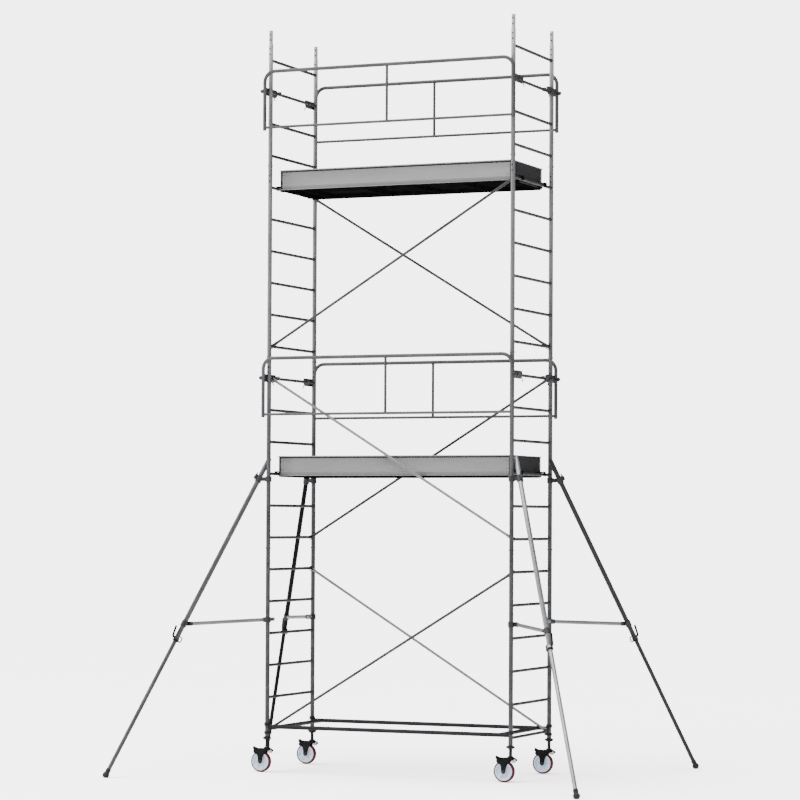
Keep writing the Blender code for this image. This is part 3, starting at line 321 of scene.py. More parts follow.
def new_tree(name, inputs):
    """Tree with named inputs after its geometry; returns it with its end nodes."""
    made = bpy.data.node_groups.new(name, "GeometryNodeTree")
    made.interface.new_socket("Geometry", in_out="INPUT", socket_type="NodeSocketGeometry")
    for label, kind in inputs:
        made.interface.new_socket(label, in_out="INPUT", socket_type=f"NodeSocket{kind}")
    made.interface.new_socket("Geometry", in_out="OUTPUT", socket_type="NodeSocketGeometry")
    return made, made.nodes.new("NodeGroupInput"), made.nodes.new("NodeGroupOutput")


def wire(tree, *joins):
    for source, target in joins:
        tree.links.new(source, target)


def finish_tree(made, start, end, geometry):
    """Smooth shading, real geometry and the material, as the last steps of a tree."""
    smooth = made.nodes.new("GeometryNodeSetShadeSmooth")
    real = made.nodes.new("GeometryNodeRealizeInstances")
    coat = made.nodes.new("GeometryNodeSetMaterial")
    wire(made,
         (geometry, smooth.inputs["Geometry"]),
         (smooth.outputs[0], real.inputs[0]),
         (real.outputs[0], coat.inputs["Geometry"]),
         (start.outputs["Material"], coat.inputs["Material"]),
         (coat.outputs[0], end.inputs[0]))
    return made


def tube_tree():
    """Round tube along every run of edges, with its corners bent."""
    made, start, end = new_tree("tube_along_path", [
        ("Diameter", "Float"), ("Sides", "Int"), ("Bend Radius", "Float"), ("Material", "Material")])
    curve = made.nodes.new("GeometryNodeMeshToCurve")
    bend = made.nodes.new("GeometryNodeFilletCurve")
    bend.mode = "POLY"
    ring = made.nodes.new("GeometryNodeCurvePrimitiveCircle")
    half = made.nodes.new("ShaderNodeMath")
    skin = made.nodes.new("GeometryNodeCurveToMesh")
    half.operation = "MULTIPLY"
    half.inputs[1].default_value = 0.5
    bend.inputs["Count"].default_value = BEND_STEPS
    bend.inputs["Limit Radius"].default_value = True
    skin.inputs["Fill Caps"].default_value = True
    wire(made,
         (start.outputs["Geometry"], curve.inputs["Mesh"]),
         (curve.outputs[0], bend.inputs["Curve"]),
         (start.outputs["Bend Radius"], bend.inputs["Radius"]),
         (start.outputs["Diameter"], half.inputs[0]),
         (half.outputs[0], ring.inputs["Radius"]),
         (start.outputs["Sides"], ring.inputs["Resolution"]),
         (bend.outputs[0], skin.inputs["Curve"]),
         (ring.outputs["Curve"], skin.inputs["Profile Curve"]))
    return finish_tree(made, start, end, skin.outputs[0])


def copies_tree():
    """The same shape at every point, turned by the point's own rotation."""
    made, start, end = new_tree("copies_at_points", [("Shape", "Object"), ("Material", "Material")])
    info = made.nodes.new("GeometryNodeObjectInfo")
    turn = made.nodes.new("GeometryNodeInputNamedAttribute")
    turn.data_type = "QUATERNION"
    turn.inputs["Name"].default_value = "turn"
    spots = made.nodes.new("GeometryNodeInstanceOnPoints")
    wire(made,
         (start.outputs["Geometry"], spots.inputs["Points"]),
         (start.outputs["Shape"], info.inputs["Object"]),
         (info.outputs["Geometry"], spots.inputs["Instance"]),
         (turn.outputs["Attribute"], spots.inputs["Rotation"]))
    return finish_tree(made, start, end, spots.outputs[0])


def thread_tree():
    """Raised thread: a small ring swept along a helix."""
    made, start, end = new_tree("thread_helix", [
        ("Radius", "Float"), ("Turns", "Float"), ("Length", "Float"), ("Crest", "Float"),
        ("Material", "Material")])
    helix = made.nodes.new("GeometryNodeCurveSpiral")
    helix.inputs["Resolution"].default_value = THREAD_STEPS
    crest = made.nodes.new("GeometryNodeCurvePrimitiveCircle")
    crest.inputs["Resolution"].default_value = CREST_SIDES
    skin = made.nodes.new("GeometryNodeCurveToMesh")
    skin.inputs["Fill Caps"].default_value = True
    wire(made,
         (start.outputs["Radius"], helix.inputs["Start Radius"]),
         (start.outputs["Radius"], helix.inputs["End Radius"]),
         (start.outputs["Turns"], helix.inputs["Rotations"]),
         (start.outputs["Length"], helix.inputs["Height"]),
         (start.outputs["Crest"], crest.inputs["Radius"]),
         (helix.outputs[0], skin.inputs["Curve"]),
         (crest.outputs["Curve"], skin.inputs["Profile Curve"]))
    return finish_tree(made, start, end, skin.outputs[0])


TUBE, COPIES, THREAD = tube_tree(), copies_tree(), thread_tree()


def run_tree(tree, mesh, values):
    """Plain mesh that a tree makes from a mesh."""
    source = bpy.data.objects.new("source", mesh)
    bpy.context.scene.collection.objects.link(source)
    modifier = source.modifiers.new("make", "NODES")
    modifier.node_group = tree
    for item in tree.interface.items_tree:
        if item.in_out == "INPUT" and item.name in values:
            modifier[item.identifier] = values[item.name]
    graph = bpy.context.evaluated_depsgraph_get()
    result = bpy.data.meshes.new_from_object(source.evaluated_get(graph))
    bpy.data.objects.remove(source, do_unlink=True)
    return result


# ---- shapes ----


UPRIGHT = Matrix.Rotation(math.pi / 2, 4, "X")


def at(x, y, z=0.0):
    return Matrix.Translation((x, y, z))


def span(sign, near, far):
    """Two distances on the side that the sign names, lower one first."""
    return sorted((sign * near, sign * far))


def facing(point, along=(0, 0, 1)):
    """Place at a point, with the shape's +Z turned to a direction."""
    turn = Vector(along).to_track_quat("Z", "Y").to_matrix().to_4x4()
    return Matrix.Translation(point) @ turn


def from_work(work, finish, place=None):
    """Plain mesh from a bmesh, facing outward, with its finish."""
    bmesh.ops.recalc_face_normals(work, faces=work.faces)
    mesh = bpy.data.meshes.new("shape")
    work.to_mesh(mesh)
    work.free()
    mesh.materials.append(finish)
    if place is not None:
        mesh.transform(place)
    return mesh


def lathe(profile, finish, place=None, sides=TUBE_SIDES, closed=False):
    """Turned shape from (radius, height) points; points at radius 0 close on the axis."""
    work = bmesh.new()
    rings = []
    for radius, height in profile:
        if radius == 0:
            rings.append([work.verts.new((0, 0, height))] * sides)
            continue
        angles = [2 * math.pi * i / sides for i in range(sides)]
        rings.append([work.verts.new((radius * math.cos(a), radius * math.sin(a), height)) for a in angles])
    pairs = list(zip(rings, rings[1:]))
    if closed:
        pairs.append((rings[-1], rings[0]))
    for first, second in pairs:
        for i in range(sides):
            j = (i + 1) % sides
            corners = [first[i], first[j], second[j], second[i]]
            unique = list(dict.fromkeys(corners))
            if len(unique) > 2:
                work.faces.new(unique)
    return from_work(work, finish, place)


def extruded(outline, thickness, finish, place=None, bevel=0.0):
    """Plate from an outline in X and Y, centred on Z = 0, with eased edges."""
    work = bmesh.new()
    bottom = [work.verts.new((x, y, -thickness / 2)) for x, y in outline]
    top = [work.verts.new((x, y, thickness / 2)) for x, y in outline]
    work.faces.new(bottom)
    work.faces.new(top)
    count = len(outline)
    for i in range(count):
        j = (i + 1) % count
        work.faces.new((bottom[i], bottom[j], top[j], top[i]))
    if bevel:
        bmesh.ops.bevel(work, geom=list(work.edges), offset=bevel, segments=2, profile=0.6,
                        affect="EDGES", clamp_overlap=True)
    return from_work(work, finish, place)


def block(low, high, finish, place=None, bevel=0.001):
    """Box between two corners with eased edges."""
    low, high = Vector(low), Vector(high)
    size = high - low
    work = bmesh.new()
    centred = Matrix.Translation((low + high) / 2) @ Matrix.Diagonal((*size, 1.0))
    bmesh.ops.create_cube(work, size=1.0, matrix=centred)
    if bevel:
        bmesh.ops.bevel(work, geom=list(work.edges), offset=bevel, segments=2, profile=0.6,
                        affect="EDGES", clamp_overlap=True)
    return from_work(work, finish, place)


def tubes(paths, diameter, finish, sides=RUNG_SIDES, bend=0.0, place=None, loop=False):
    """Round bars along runs of points, bent at their corners."""
    points, edges = [], []
    for path in paths:
        first = len(points)
        points += [tuple(p) for p in path]
        edges += [(first + i, first + i + 1) for i in range(len(path) - 1)]
        if loop:
            edges.append((len(points) - 1, first))
    mesh = bpy.data.meshes.new("paths")
    mesh.from_pydata(points, edges, [])
    values = {"Diameter": diameter, "Sides": sides, "Bend Radius": bend, "Material": finish}
    made = run_tree(TUBE, mesh, values)
    if place is not None:
        made.transform(place)
    return made


def copies(shape, places):
    """The same shape set at many places, as one mesh."""
    holder = bpy.data.objects.new("shape_holder", shape)
    bpy.context.scene.collection.objects.link(holder)
    points = bpy.data.meshes.new("points")
    points.from_pydata([tuple(place.to_translation()) for place in places], [], [])
    turns = points.attributes.new("turn", "QUATERNION", "POINT")
    for item, place in zip(turns.data, places):
        item.value = place.to_quaternion()
    made = run_tree(COPIES, points, {"Shape": holder, "Material": shape.materials[0]})
    bpy.data.objects.remove(holder, do_unlink=True)
    return made


def arc(middle, radius, start, end, steps):
    angles = [math.radians(start + (end - start) * i / steps) for i in range(steps + 1)]
    return [(middle[0] + radius * math.cos(a), middle[1] + radius * math.sin(a)) for a in angles]


def piece(name, body, shapes, stands_for=()):
    """One object from several shapes, riding on a body."""
    work = bmesh.new()
    finishes = []
    for mesh in shapes:
        first = len(work.faces)
        work.from_mesh(mesh)
        work.faces.ensure_lookup_table()
        for face in work.faces[first:]:
            finish = mesh.materials[face.material_index]
            if finish not in finishes:
                finishes.append(finish)
            face.material_index = finishes.index(finish)
    result = bpy.data.meshes.new(name)
    work.to_mesh(result)
    work.free()
    for finish in finishes:
        result.materials.append(finish)
    result.shade_smooth()
    result.set_sharp_from_angle(angle=SMOOTH_ANGLE)
    made = bpy.data.objects.new(name, result)
    bpy.context.scene.collection.objects.link(made)
    if stands_for:
        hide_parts(*stands_for)
    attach(made, body)
    return made


def hex_bolt(size, head, place=None):
    """Washer and hexagon head standing on Z = 0."""
    washer = [(0, 0), (size * 1.25, 0), (size * 1.25, head * 0.25), (0, head * 0.25)]
    hexagon = [(0, head * 0.25), (size, head * 0.25), (size, head * 0.92), (size * 0.86, head), (0, head)]
    first = lathe(washer, HARDWARE, sides=14)
    second = lathe(hexagon, HARDWARE, sides=6)
    work = bmesh.new()
    work.from_mesh(first)
    work.from_mesh(second)
    return from_work(work, HARDWARE, place)


def rod(radius, low, high, place, sides=12):
    """Plain pin between two heights."""
    return lathe([(0, low), (radius, low), (radius, high), (0, high)], HARDWARE, place, sides)


# ---- ladder frames ----

WELD_STEPS = 30
WELD_RIPPLES = 9
WELD_RIPPLE = 0.0004


def weld_bead(post_radius, rung_radius, thickness):
    """Ring of weld where a bar along +Y leaves a post."""
    path = []
    for i in range(WELD_STEPS):
        angle = 2 * math.pi * i / WELD_STEPS
        radius = rung_radius + WELD_RIPPLE * math.sin(WELD_RIPPLES * angle)
        x, z = radius * math.cos(angle), radius * math.sin(angle)
        path.append((x, math.sqrt(max(post_radius ** 2 - x ** 2, 0)) + thickness * 0.1, z))
    return tubes([path], thickness, WELD, 6, loop=True)


RUNG_BEAD = weld_bead(POST_RADIUS, RUNG_DIAMETER / 2, 0.005)
PIN_HEAD = lathe([(0, 0), (0.0062, 0), (0.0062, 0.004), (0.0045, 0.0065), (0, 0.0065)], HARDWARE, sides=12)
# Pin hole drawn as a dark disc set into the tube: painted shade inside the hole.
PIN_HOLE = lathe([(0, 0.0006), (0.0075, 0.0006), (0.0075, -0.003), (0, -0.003)], HOLE_SHADE, sides=14)


def ladder_frame(side, level, first_rung):
    """Two posts with spigots, their rungs and welds, pin holes, and pins through the joint below."""
    x = -POST_X if side == "left" else POST_X
    rungs = RUNGS_PER_FRAME[level - 1]
    low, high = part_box(f"{side}_ladder_{level}")
    foot, tip = low[2], high[2]
    top = tip - SPIGOT_LENGTH
    depth = FOOT_BORE_DEPTH if level == 1 else JOINT_BORE_DEPTH
    c = POST_CHAMFER
    profile = [
        (0, foot + depth), (POST_BORE_RADIUS, foot + depth), (POST_BORE_RADIUS, foot + c),
        (POST_BORE_RADIUS + c * 0.5, foot), (POST_RADIUS - c, foot), (POST_RADIUS, foot + c),
        (POST_RADIUS, top - c), (POST_RADIUS - c, top), (SPIGOT_RADIUS, top), (SPIGOT_RADIUS, tip - 0.004),
        (SPIGOT_RADIUS - 0.0015, tip), (SPIGOT_BORE_RADIUS, tip), (SPIGOT_BORE_RADIUS, top - 0.02),
        (0, top - 0.02),
    ]
    shapes, beads, pins, holes = [], [], [], []
    heights = [rung_height(first_rung + k) for k in range(rungs)]
    reach = POST_Y - POST_RADIUS + 0.0015
    for y_sign in (-1, 1):
        y = y_sign * POST_Y
        shapes.append(lathe(profile, POST_ZINC, at(x, y)))
        turn = Matrix.Rotation(0 if y_sign < 0 else math.pi, 4, "Z")
        beads += [at(x, y, z) @ turn for z in heights]
        for direction in (-1, 1):
            if level > 1:
                spot = (x + direction * POST_RADIUS * 0.98, y, foot + PIN_ABOVE_JOINT)
                pins.append(facing(spot, (direction, 0, 0)))
            for drop in POST_HOLE_DROPS:
                holes.append(facing((x, y + direction * POST_RADIUS, top - drop), (0, direction, 0)))
            if level == len(RUNGS_PER_FRAME):
                for drop in SPIGOT_HOLE_DROPS:
                    holes.append(facing((x, y + direction * SPIGOT_RADIUS, tip - drop), (0, direction, 0)))
    shapes.append(tubes([((x, -reach, z), (x, reach, z)) for z in heights], RUNG_DIAMETER, RUNG_ZINC))
    shapes.append(copies(RUNG_BEAD, beads))
    shapes.append(copies(PIN_HOLE, holes))
    if pins:
        shapes.append(copies(PIN_HEAD, pins))
    piece(f"{side}_ladder_frame_{level}", "tower", shapes, [f"{side}_ladder_{level}"])


def make_ladders():
    first = 1
    for level, rungs in enumerate(RUNGS_PER_FRAME, start=1):
        for side in ("left", "right"):
            ladder_frame(side, level, first)
        first += rungs


# ---- base frame ----

BASE_HEIGHT = 0.428
BASE_DIAMETER = 0.038
CROSS_INSET = 0.110
COLLAR_WALL = 0.008


def band(inner, wall, low, high, finish, place, sides=TUBE_SIDES):
    """Rounded band about Z."""
    e = 0.0012
    outer = inner + wall
    profile = [(inner, low + e), (inner + e, low), (outer - e, low), (outer, low + e),
               (outer, high - e), (outer - e, high), (inner + e, high), (inner, high - e)]
    return lathe(profile, finish, place, sides, closed=True)


def make_base_frame():
    """Long and cross tubes, a collar at each corner and a second collar below two of them."""
    end = POST_X - POST_RADIUS - 0.0035
    cross_end = POST_Y - 0.012
    cross_x = POST_X - CROSS_INSET
    shapes = [
        tubes([((-end, y, BASE_HEIGHT), (end, y, BASE_HEIGHT)) for y in (-POST_Y, POST_Y)],
              BASE_DIAMETER, BASE_ZINC, TUBE_SIDES),
        tubes([((x, -cross_end, BASE_HEIGHT), (x, cross_end, BASE_HEIGHT)) for x in (-cross_x, cross_x)],
              BASE_DIAMETER - 0.001, BASE_ZINC, TUBE_SIDES),
    ]
    cross_bead = weld_bead(BASE_DIAMETER / 2, BASE_DIAMETER / 2 - 0.0015, 0.005)
    collar = POST_RADIUS + FIT_GAP
    beads, bolts = [], []
    for x_sign, y_sign in CORNERS.values():
        x, y = x_sign * POST_X, y_sign * POST_Y
        place = at(x, y)
        shapes.append(band(collar, COLLAR_WALL, BASE_HEIGHT + 0.007, BASE_HEIGHT + 0.037, BASE_ZINC, place))
        inward = Matrix.Rotation(0 if y_sign < 0 else math.pi, 4, "Z")
        beads.append(at(x - x_sign * CROSS_INSET, y, BASE_HEIGHT)
                     @ inward @ Matrix.Rotation(math.pi / 2, 4, "Y"))
        bolts.append(facing((x, y + y_sign * 0.029, BASE_HEIGHT + 0.022), (0, y_sign, 0)))
        if x_sign == y_sign:
            lower = BASE_HEIGHT - 0.056
            shapes.append(band(collar, COLLAR_WALL, lower - 0.012, lower + 0.012, BASE_ZINC, place))
            xs = sorted((x - x_sign * (POST_RADIUS + 0.004), x - x_sign * (POST_RADIUS + 0.026)))
            shapes.append(block((xs[0], y - 0.005, lower - 0.010), (xs[1], y + 0.005, BASE_HEIGHT),
                                BASE_ZINC, bevel=0.0015))
    shapes.append(copies(cross_bead, beads))
    shapes.append(copies(hex_bolt(0.0075, 0.009), bolts))
    piece("base_tubes", "tower", shapes, ["base_frame"])


# ---- diagonal braces ----

BRACE_INSET = 0.050
BRACE_RISE = 5 * RUNG_PITCH / 2
BRACE_DIAMETER = 0.025


def flattened_tube(start, end, diameter, finish, squeeze=0.42, length=0.090):
    """Tube whose two ends are pressed flat, thin across Y."""
    start, end = Vector(start), Vector(end)
    along = (end - start).normalized()
    across = Vector((0, 1, 0))
    up = along.cross(across).normalized()
    total = (end - start).length
    stations = []
    for share in (0.0, 0.35, 0.6, 0.8, 1.0):
        stations.append((share * length, share))
    stations += [(total - distance, share) for distance, share in reversed(stations)]
    work = bmesh.new()
    rings = []
    for distance, share in stations:
        smooth = share * share * (3 - 2 * share)
        thin = squeeze + (1 - squeeze) * smooth
        tall = 1.32 - 0.32 * smooth
        middle = start + along * distance
        ring = []
        for i in range(TUBE_SIDES):
            angle = 2 * math.pi * i / TUBE_SIDES
            offset = across * math.cos(angle) * thin + up * math.sin(angle) * tall
            ring.append(work.verts.new(middle + offset * diameter / 2))
        rings.append(ring)
    for first, second in zip(rings, rings[1:]):
        for i in range(TUBE_SIDES):
            j = (i + 1) % TUBE_SIDES
            work.faces.new((first[i], first[j], second[j], second[i]))
    work.faces.new(rings[0])
    work.faces.new(rings[-1])
    return from_work(work, finish)


def brace_end(x, y, z, sign, slope):
    """Claw over a rung with its latch and rivet."""
    over = arc((0, 0), 0.0151, -20, 200, 14) + arc((0, 0), 0.0212, 200, -20, 14)
    latch = [(0.010, -0.004), (0.020, -0.012), (0.020, -0.020), (0.0, -0.027), (-0.018, -0.022),
             (-0.018, -0.018), (0.0, -0.0195), (0.012, -0.016)]
    out = [(-sign * px, py) for px, py in latch]
    inward = Vector((-sign * 0.024, 0, -sign * slope * 0.024))
    return [
        extruded(over, 0.022, HARDWARE, at(x, y, z) @ UPRIGHT, 0.0008),
        extruded(out, 0.004, HARDWARE, at(x, y - 0.0135, z) @ UPRIGHT, 0.0005),
        rod(0.006, -0.017, 0.017, facing(Vector((x, y, z)) + inward, (0, 1, 0))),
    ]


def make_braces():
    run = POST_X
    slope = BRACE_RISE / run
    for index, (level, lowest) in enumerate({"lower": 1, "middle": 7, "upper": 13}.items()):
        middle = rung_height(lowest) + BRACE_RISE
        for side, y in (("front", -POST_Y + BRACE_INSET), ("back", POST_Y - BRACE_INSET)):
            rise = 1 if (index % 2 == 0) == (side == "front") else -1
            along = Vector((run, 0, rise * BRACE_RISE)).normalized()
            end = Vector((run, 0, rise * BRACE_RISE)) - along * 0.0165
            here = Vector((0, y, middle))
            # The back lower and front middle braces take the lighter copy: painted light.
            zinc = BRACE_ZINC_PAINTED_LIGHT if (side, level) in (("back", "lower"), ("front", "middle")) else BRACE_ZINC
            shapes = [flattened_tube(here - end, here + end, BRACE_DIAMETER, zinc)]
            for sign in (-1, 1):
                shapes += brace_end(sign * run, y, middle + sign * rise * BRACE_RISE, sign, rise * slope)
            piece(f"{side}_diagonal_{level}", "tower", shapes, [f"{side}_brace_{level}"])


# ---- guardrails ----

GUARD_OFFSET = 0.070
GUARD_LEG = POST_X + 0.028
GUARD_TOP = 0.183
GUARD_DROP = 0.344
GUARD_TAIL = 0.028
GUARD_TUBE = 0.034
GUARD_BAR = 0.025


def guard_shapes(place):
    """One guardrail about the rung that carries it, on the front side."""
    bottom = -GUARD_DROP - GUARD_TAIL
    y = -GUARD_OFFSET
    goal = [(-GUARD_LEG, y, bottom), (-GUARD_LEG, y, GUARD_TOP), (GUARD_LEG, y, GUARD_TOP),
            (GUARD_LEG, y, bottom)]
    shapes = [
        tubes([goal], GUARD_TUBE, RAIL_ZINC, TUBE_SIDES, 0.100),
        tubes([((-GUARD_LEG, y, -GUARD_DROP), (GUARD_LEG, y, -GUARD_DROP)),
               ((0, y, -GUARD_DROP), (0, y, GUARD_TOP))], GUARD_BAR, RAIL_ZINC),
    ]
    across = Matrix.Rotation(math.pi / 2, 4, "Z")
    bead = weld_bead(GUARD_TUBE / 2, GUARD_BAR / 2, 0.004)
    beads = [
        at(-GUARD_LEG, y, -GUARD_DROP) @ Matrix.Rotation(-math.pi / 2, 4, "Z"),
        at(GUARD_LEG, y, -GUARD_DROP) @ across,
        at(0, y, GUARD_TOP) @ UPRIGHT.inverted() @ Matrix.Rotation(math.pi / 2, 4, "Y"),
    ]
    shapes.append(copies(bead, beads))
    nub = [(0, 0), (0.017, 0), (0.019, 0.003), (0.019, 0.030), (0.016, 0.036), (0.010, 0.038), (0.010, 0.042),
           (0, 0.042)]
    for sign in (-1, 1):
        near = sign * (POST_X + POST_RADIUS + FIT_GAP)
        far = near + sign * 0.006
        wide = 0.190 + GUARD_OFFSET
        outline = [(0, -0.030), (0.012, -0.0375), (wide - 0.030, -0.0375), (wide, -0.014), (wide, 0.024),
                   (wide - 0.010, 0.0375), (0.012, 0.0375), (0, 0.030)]
        turn = Matrix(((0, 0, 1, (near + far) / 2), (1, 0, 0, -GUARD_OFFSET), (0, 1, 0, 0), (0, 0, 0, 1)))
        shapes.append(extruded(outline, 0.006, HARDWARE, turn, 0.0012))
        xs = sorted((-sign * 0.022 + sign * POST_X, far - sign * 0.001))
        shapes.append(block((xs[0], 0.160, 0.0148), (xs[1], 0.189, 0.0228), HARDWARE))
        lip = span(sign, POST_X - 0.022, POST_X - 0.016)
        shapes.append(block((lip[0], 0.160, -0.010), (lip[1], 0.189, 0.0218), HARDWARE))
        shapes.append(lathe(nub, HARDWARE, facing((sign * GUARD_LEG, -GUARD_OFFSET, 0), (sign, 0, 0))))
        tail = [(far + sign * 0.004, 0.060, 0.0), (far + sign * 0.010, 0.100, -0.012),
                (far + sign * 0.012, 0.150, -0.034), (far + sign * 0.010, 0.175, -0.062)]
        shapes.append(tubes([tail], 0.009, HARDWARE, SMALL_SIDES, 0.030))
        shapes.append(lathe([(0, 0), (0.012, 0), (0.012, 0.010), (0.009, 0.012), (0, 0.012)], HARDWARE,
                            facing((far, 0.060, 0), (sign, 0, 0))))
    for mesh in shapes:
        mesh.transform(place)
    return shapes


def make_guardrails():
    for level, rung in {"lower": 12, "upper": 21}.items():
        for side, turn, y in (("front", 0.0, -POST_Y), ("back", math.pi, POST_Y)):
            place = at(0, y, rung_height(rung)) @ Matrix.Rotation(turn, 4, "Z")
            piece(f"{side}_guard_{level}", "tower", guard_shapes(place), [f"{side}_guardrail_{level}"])


# ---- decks and toe boards ----

BOARD_X = POST_X - 0.055
BOARD_Y = POST_Y - 0.115
RIM_OUT = 0.010
BOARD_LOW = -0.018
BOARD_HIGH = 0.170
NOTCH_TOP = 0.0295
HOOK_SPREAD = 0.300
NOTCH_HALF = 0.0245
HATCH_GAP = 0.004
HATCH_STRIP = 0.018
DECK_RIVETS = 9
SHEET_LOW = 0.0002
SHEET_TOP = 0.0022
END_RIVET_SHARES = (-0.985, -0.965, 0.965, 0.985)
END_RIVET_HEIGHTS = (0.045, 0.120)


def long_board(sign, z):
    """Extruded side board with ribs, a groove under the top rim holding a painted shadow strip, and eased
    rims.
    """
    face = [(0, BOARD_LOW + 0.006), (0, 0.012), (0.0014, 0.014), (0.0014, 0.018), (0, 0.020), (0, 0.146),
            (-0.0012, 0.148), (-0.0012, 0.158), (0, 0.160), (0, BOARD_HIGH - 0.006)]
    section = face + [(-0.003, BOARD_HIGH - 0.006), (-0.003, BOARD_LOW + 0.006)]
    outline = [(sign * (BOARD_Y + out), z + up) for out, up in section]
    turn = Matrix(((0, 0, 1, 0), (1, 0, 0, 0), (0, 1, 0, 0), (0, 0, 0, 1)))
    shapes = [extruded(outline, 2 * BOARD_X, BOARD, turn)]
    # Near-black strip in the groove under the top rim: painted shadow of the rim.
    ys = span(sign, BOARD_Y - 0.0002, BOARD_Y + 0.0006)
    shapes.append(block((-BOARD_X, ys[0], z + 0.148), (BOARD_X, ys[1], z + 0.1595), GROOVE_SHADOW_AND_END_STRIPS, bevel=0.0))
    ys = span(sign, BOARD_Y - 0.001, BOARD_Y + 0.0035)
    for end in (-1, 1):
        xs = span(end, BOARD_X - 0.016, BOARD_X + 0.001)
        shapes.append(block((xs[0], ys[0], z + BOARD_LOW + 0.007), (xs[1], ys[1], z + BOARD_HIGH - 0.007),
                            GROOVE_SHADOW_AND_END_STRIPS, bevel=0.0006))
    # Top and bottom rims in the lighter copy: painted highlight.
    ys = span(sign, BOARD_Y - 0.003, BOARD_Y + RIM_OUT)
    for low, high in ((BOARD_LOW, BOARD_LOW + 0.006), (BOARD_HIGH - 0.009, BOARD_HIGH)):
        shapes.append(block((-BOARD_X - RIM_OUT, ys[0], z + low), (BOARD_X + RIM_OUT, ys[1], z + high), RIM_HIGHLIGHT))
    return shapes


def end_board(sign, z):
    """End board between the side boards, notched for the hooks."""
    xs = span(sign, BOARD_X - 0.003, BOARD_X)
    rims = span(sign, BOARD_X - 0.003, BOARD_X + RIM_OUT)
    edge = BOARD_Y - 0.004
    # The end board and its lower rims take the near-black copy: painted shade.
    shapes = [
        block((xs[0], -edge, z + NOTCH_TOP), (xs[1], edge, z + BOARD_HIGH - 0.006), BOARD_END_SHADE, bevel=0.0),
        block((rims[0], -edge, z + BOARD_HIGH - 0.006), (rims[1], edge, z + BOARD_HIGH), RIM_HIGHLIGHT),
    ]
    cuts = [-edge, -HOOK_SPREAD - NOTCH_HALF, -HOOK_SPREAD + NOTCH_HALF, HOOK_SPREAD - NOTCH_HALF,
            HOOK_SPREAD + NOTCH_HALF, edge]
    for start, end in zip(cuts[::2], cuts[1::2]):
        shapes.append(block((xs[0], start, z + BOARD_LOW), (xs[1], end, z + NOTCH_TOP), BOARD_END_SHADE, bevel=0.0))
        shapes.append(block((rims[0], start, z + BOARD_LOW), (rims[1], end, z + BOARD_LOW + 0.006),
                            BOARD_END_SHADE))
    corner = span(sign, BOARD_X - 0.001, BOARD_X + 0.003)
    for y_sign in (-1, 1):
        ys = span(y_sign, BOARD_Y - 0.032, BOARD_Y + 0.002)
        shapes.append(block((corner[0], ys[0], z + 0.032), (corner[1], ys[1], z + BOARD_HIGH - 0.008), BOARD))
    return shapes


RIVET = lathe([(0, 0), (0.0042, 0), (0.0040, 0.0012), (0.0022, 0.0022), (0, 0.0024)], HARDWARE, sides=10)


def make_decks():
    """Toe boards, deck sheets round the hatch and the hatch's trim, on the finished decks and lids."""
    for level, rung in {"lower": 9, "upper": 18}.items():
        z = rung_height(rung)
        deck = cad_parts[f"{level}_deck"]
        deck.data.materials.clear()
        deck.data.materials.append(DECK_BLACK)
        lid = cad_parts[f"{level}_hatch"]
        lid.data.materials.clear()
        lid.data.materials.append(PLYWOOD[level])
        boards, rivets = [], []
        for sign in (-1, 1):
            boards += long_board(sign, z) + end_board(sign, z)
            for share in END_RIVET_SHARES:
                for up in END_RIVET_HEIGHTS:
                    rivets.append(facing((share * BOARD_X, sign * BOARD_Y, z + up), (0, sign, 0)))
        boards.append(copies(RIVET, rivets))
        piece(f"{level}_toe_board_ring", "tower", boards, [f"{level}_toe_boards"])
        low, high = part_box(f"{level}_hatch")
        top = z + 0.020
        inner_x, inner_y = BOARD_X - 0.0045, BOARD_Y - 0.0045
        gap, wide = HATCH_GAP, HATCH_STRIP
        sheets = [
            ((-inner_x, -inner_y), (low[0] - gap, inner_y)),
            ((high[0] + gap, -inner_y), (inner_x, inner_y)),
            ((low[0] - gap, -inner_y), (high[0] + gap, low[1] - gap)),
            ((low[0] - gap, high[1] + wide), (high[0] + gap, inner_y)),
        ]
        covers = [block((a[0], a[1], top + SHEET_LOW), (b[0], b[1], top + SHEET_TOP), PLYWOOD[level],
                        bevel=0.0006) for a, b in sheets]
        heads = []
        for i in range(DECK_RIVETS):
            x = -inner_x + 0.03 + (2 * inner_x - 0.06) * i / (DECK_RIVETS - 1)
            heads += [facing((x, y, top + SHEET_TOP)) for y in (-inner_y + 0.015, inner_y - 0.015)]
        covers.append(copies(RIVET, heads))
        piece(f"{level}_deck_cover", "tower", covers)
        strips = [
            ((low[0], low[1]), (high[0], low[1] + wide)), ((low[0], high[1] - wide), (high[0], high[1])),
            ((low[0], low[1] + wide), (low[0] + wide, high[1] - wide)),
            ((high[0] - wide, low[1] + wide), (high[0], high[1] - wide)),
        ]
        trim_low, trim_high = high[2] + PROUD, high[2] + 0.0016
        # Hatch trim in the lighter board copy: painted highlight.
        trim = [block((a[0] + 0.001, a[1] + 0.001, trim_low), (b[0] - 0.001, b[1] - 0.001, trim_high),
                      RIM_HIGHLIGHT, bevel=0.0005) for a, b in strips]
        grip = [facing((x, low[1] + 0.045, high[2])) for x in (low[0] + 0.20, high[0] - 0.20)]
        trim.append(copies(hex_bolt(0.006, 0.004), grip))
        piece(f"{level}_hatch_trim", f"{level}_hatch", trim)


# ---- castors and jacks ----

THREAD_PITCH = 0.008
TRAIL = 0.060
AXLE_HEIGHT = 0.100
FORK_TOP = 0.229
WHEEL_RIBS = 6
WHEEL_SIDES = 48


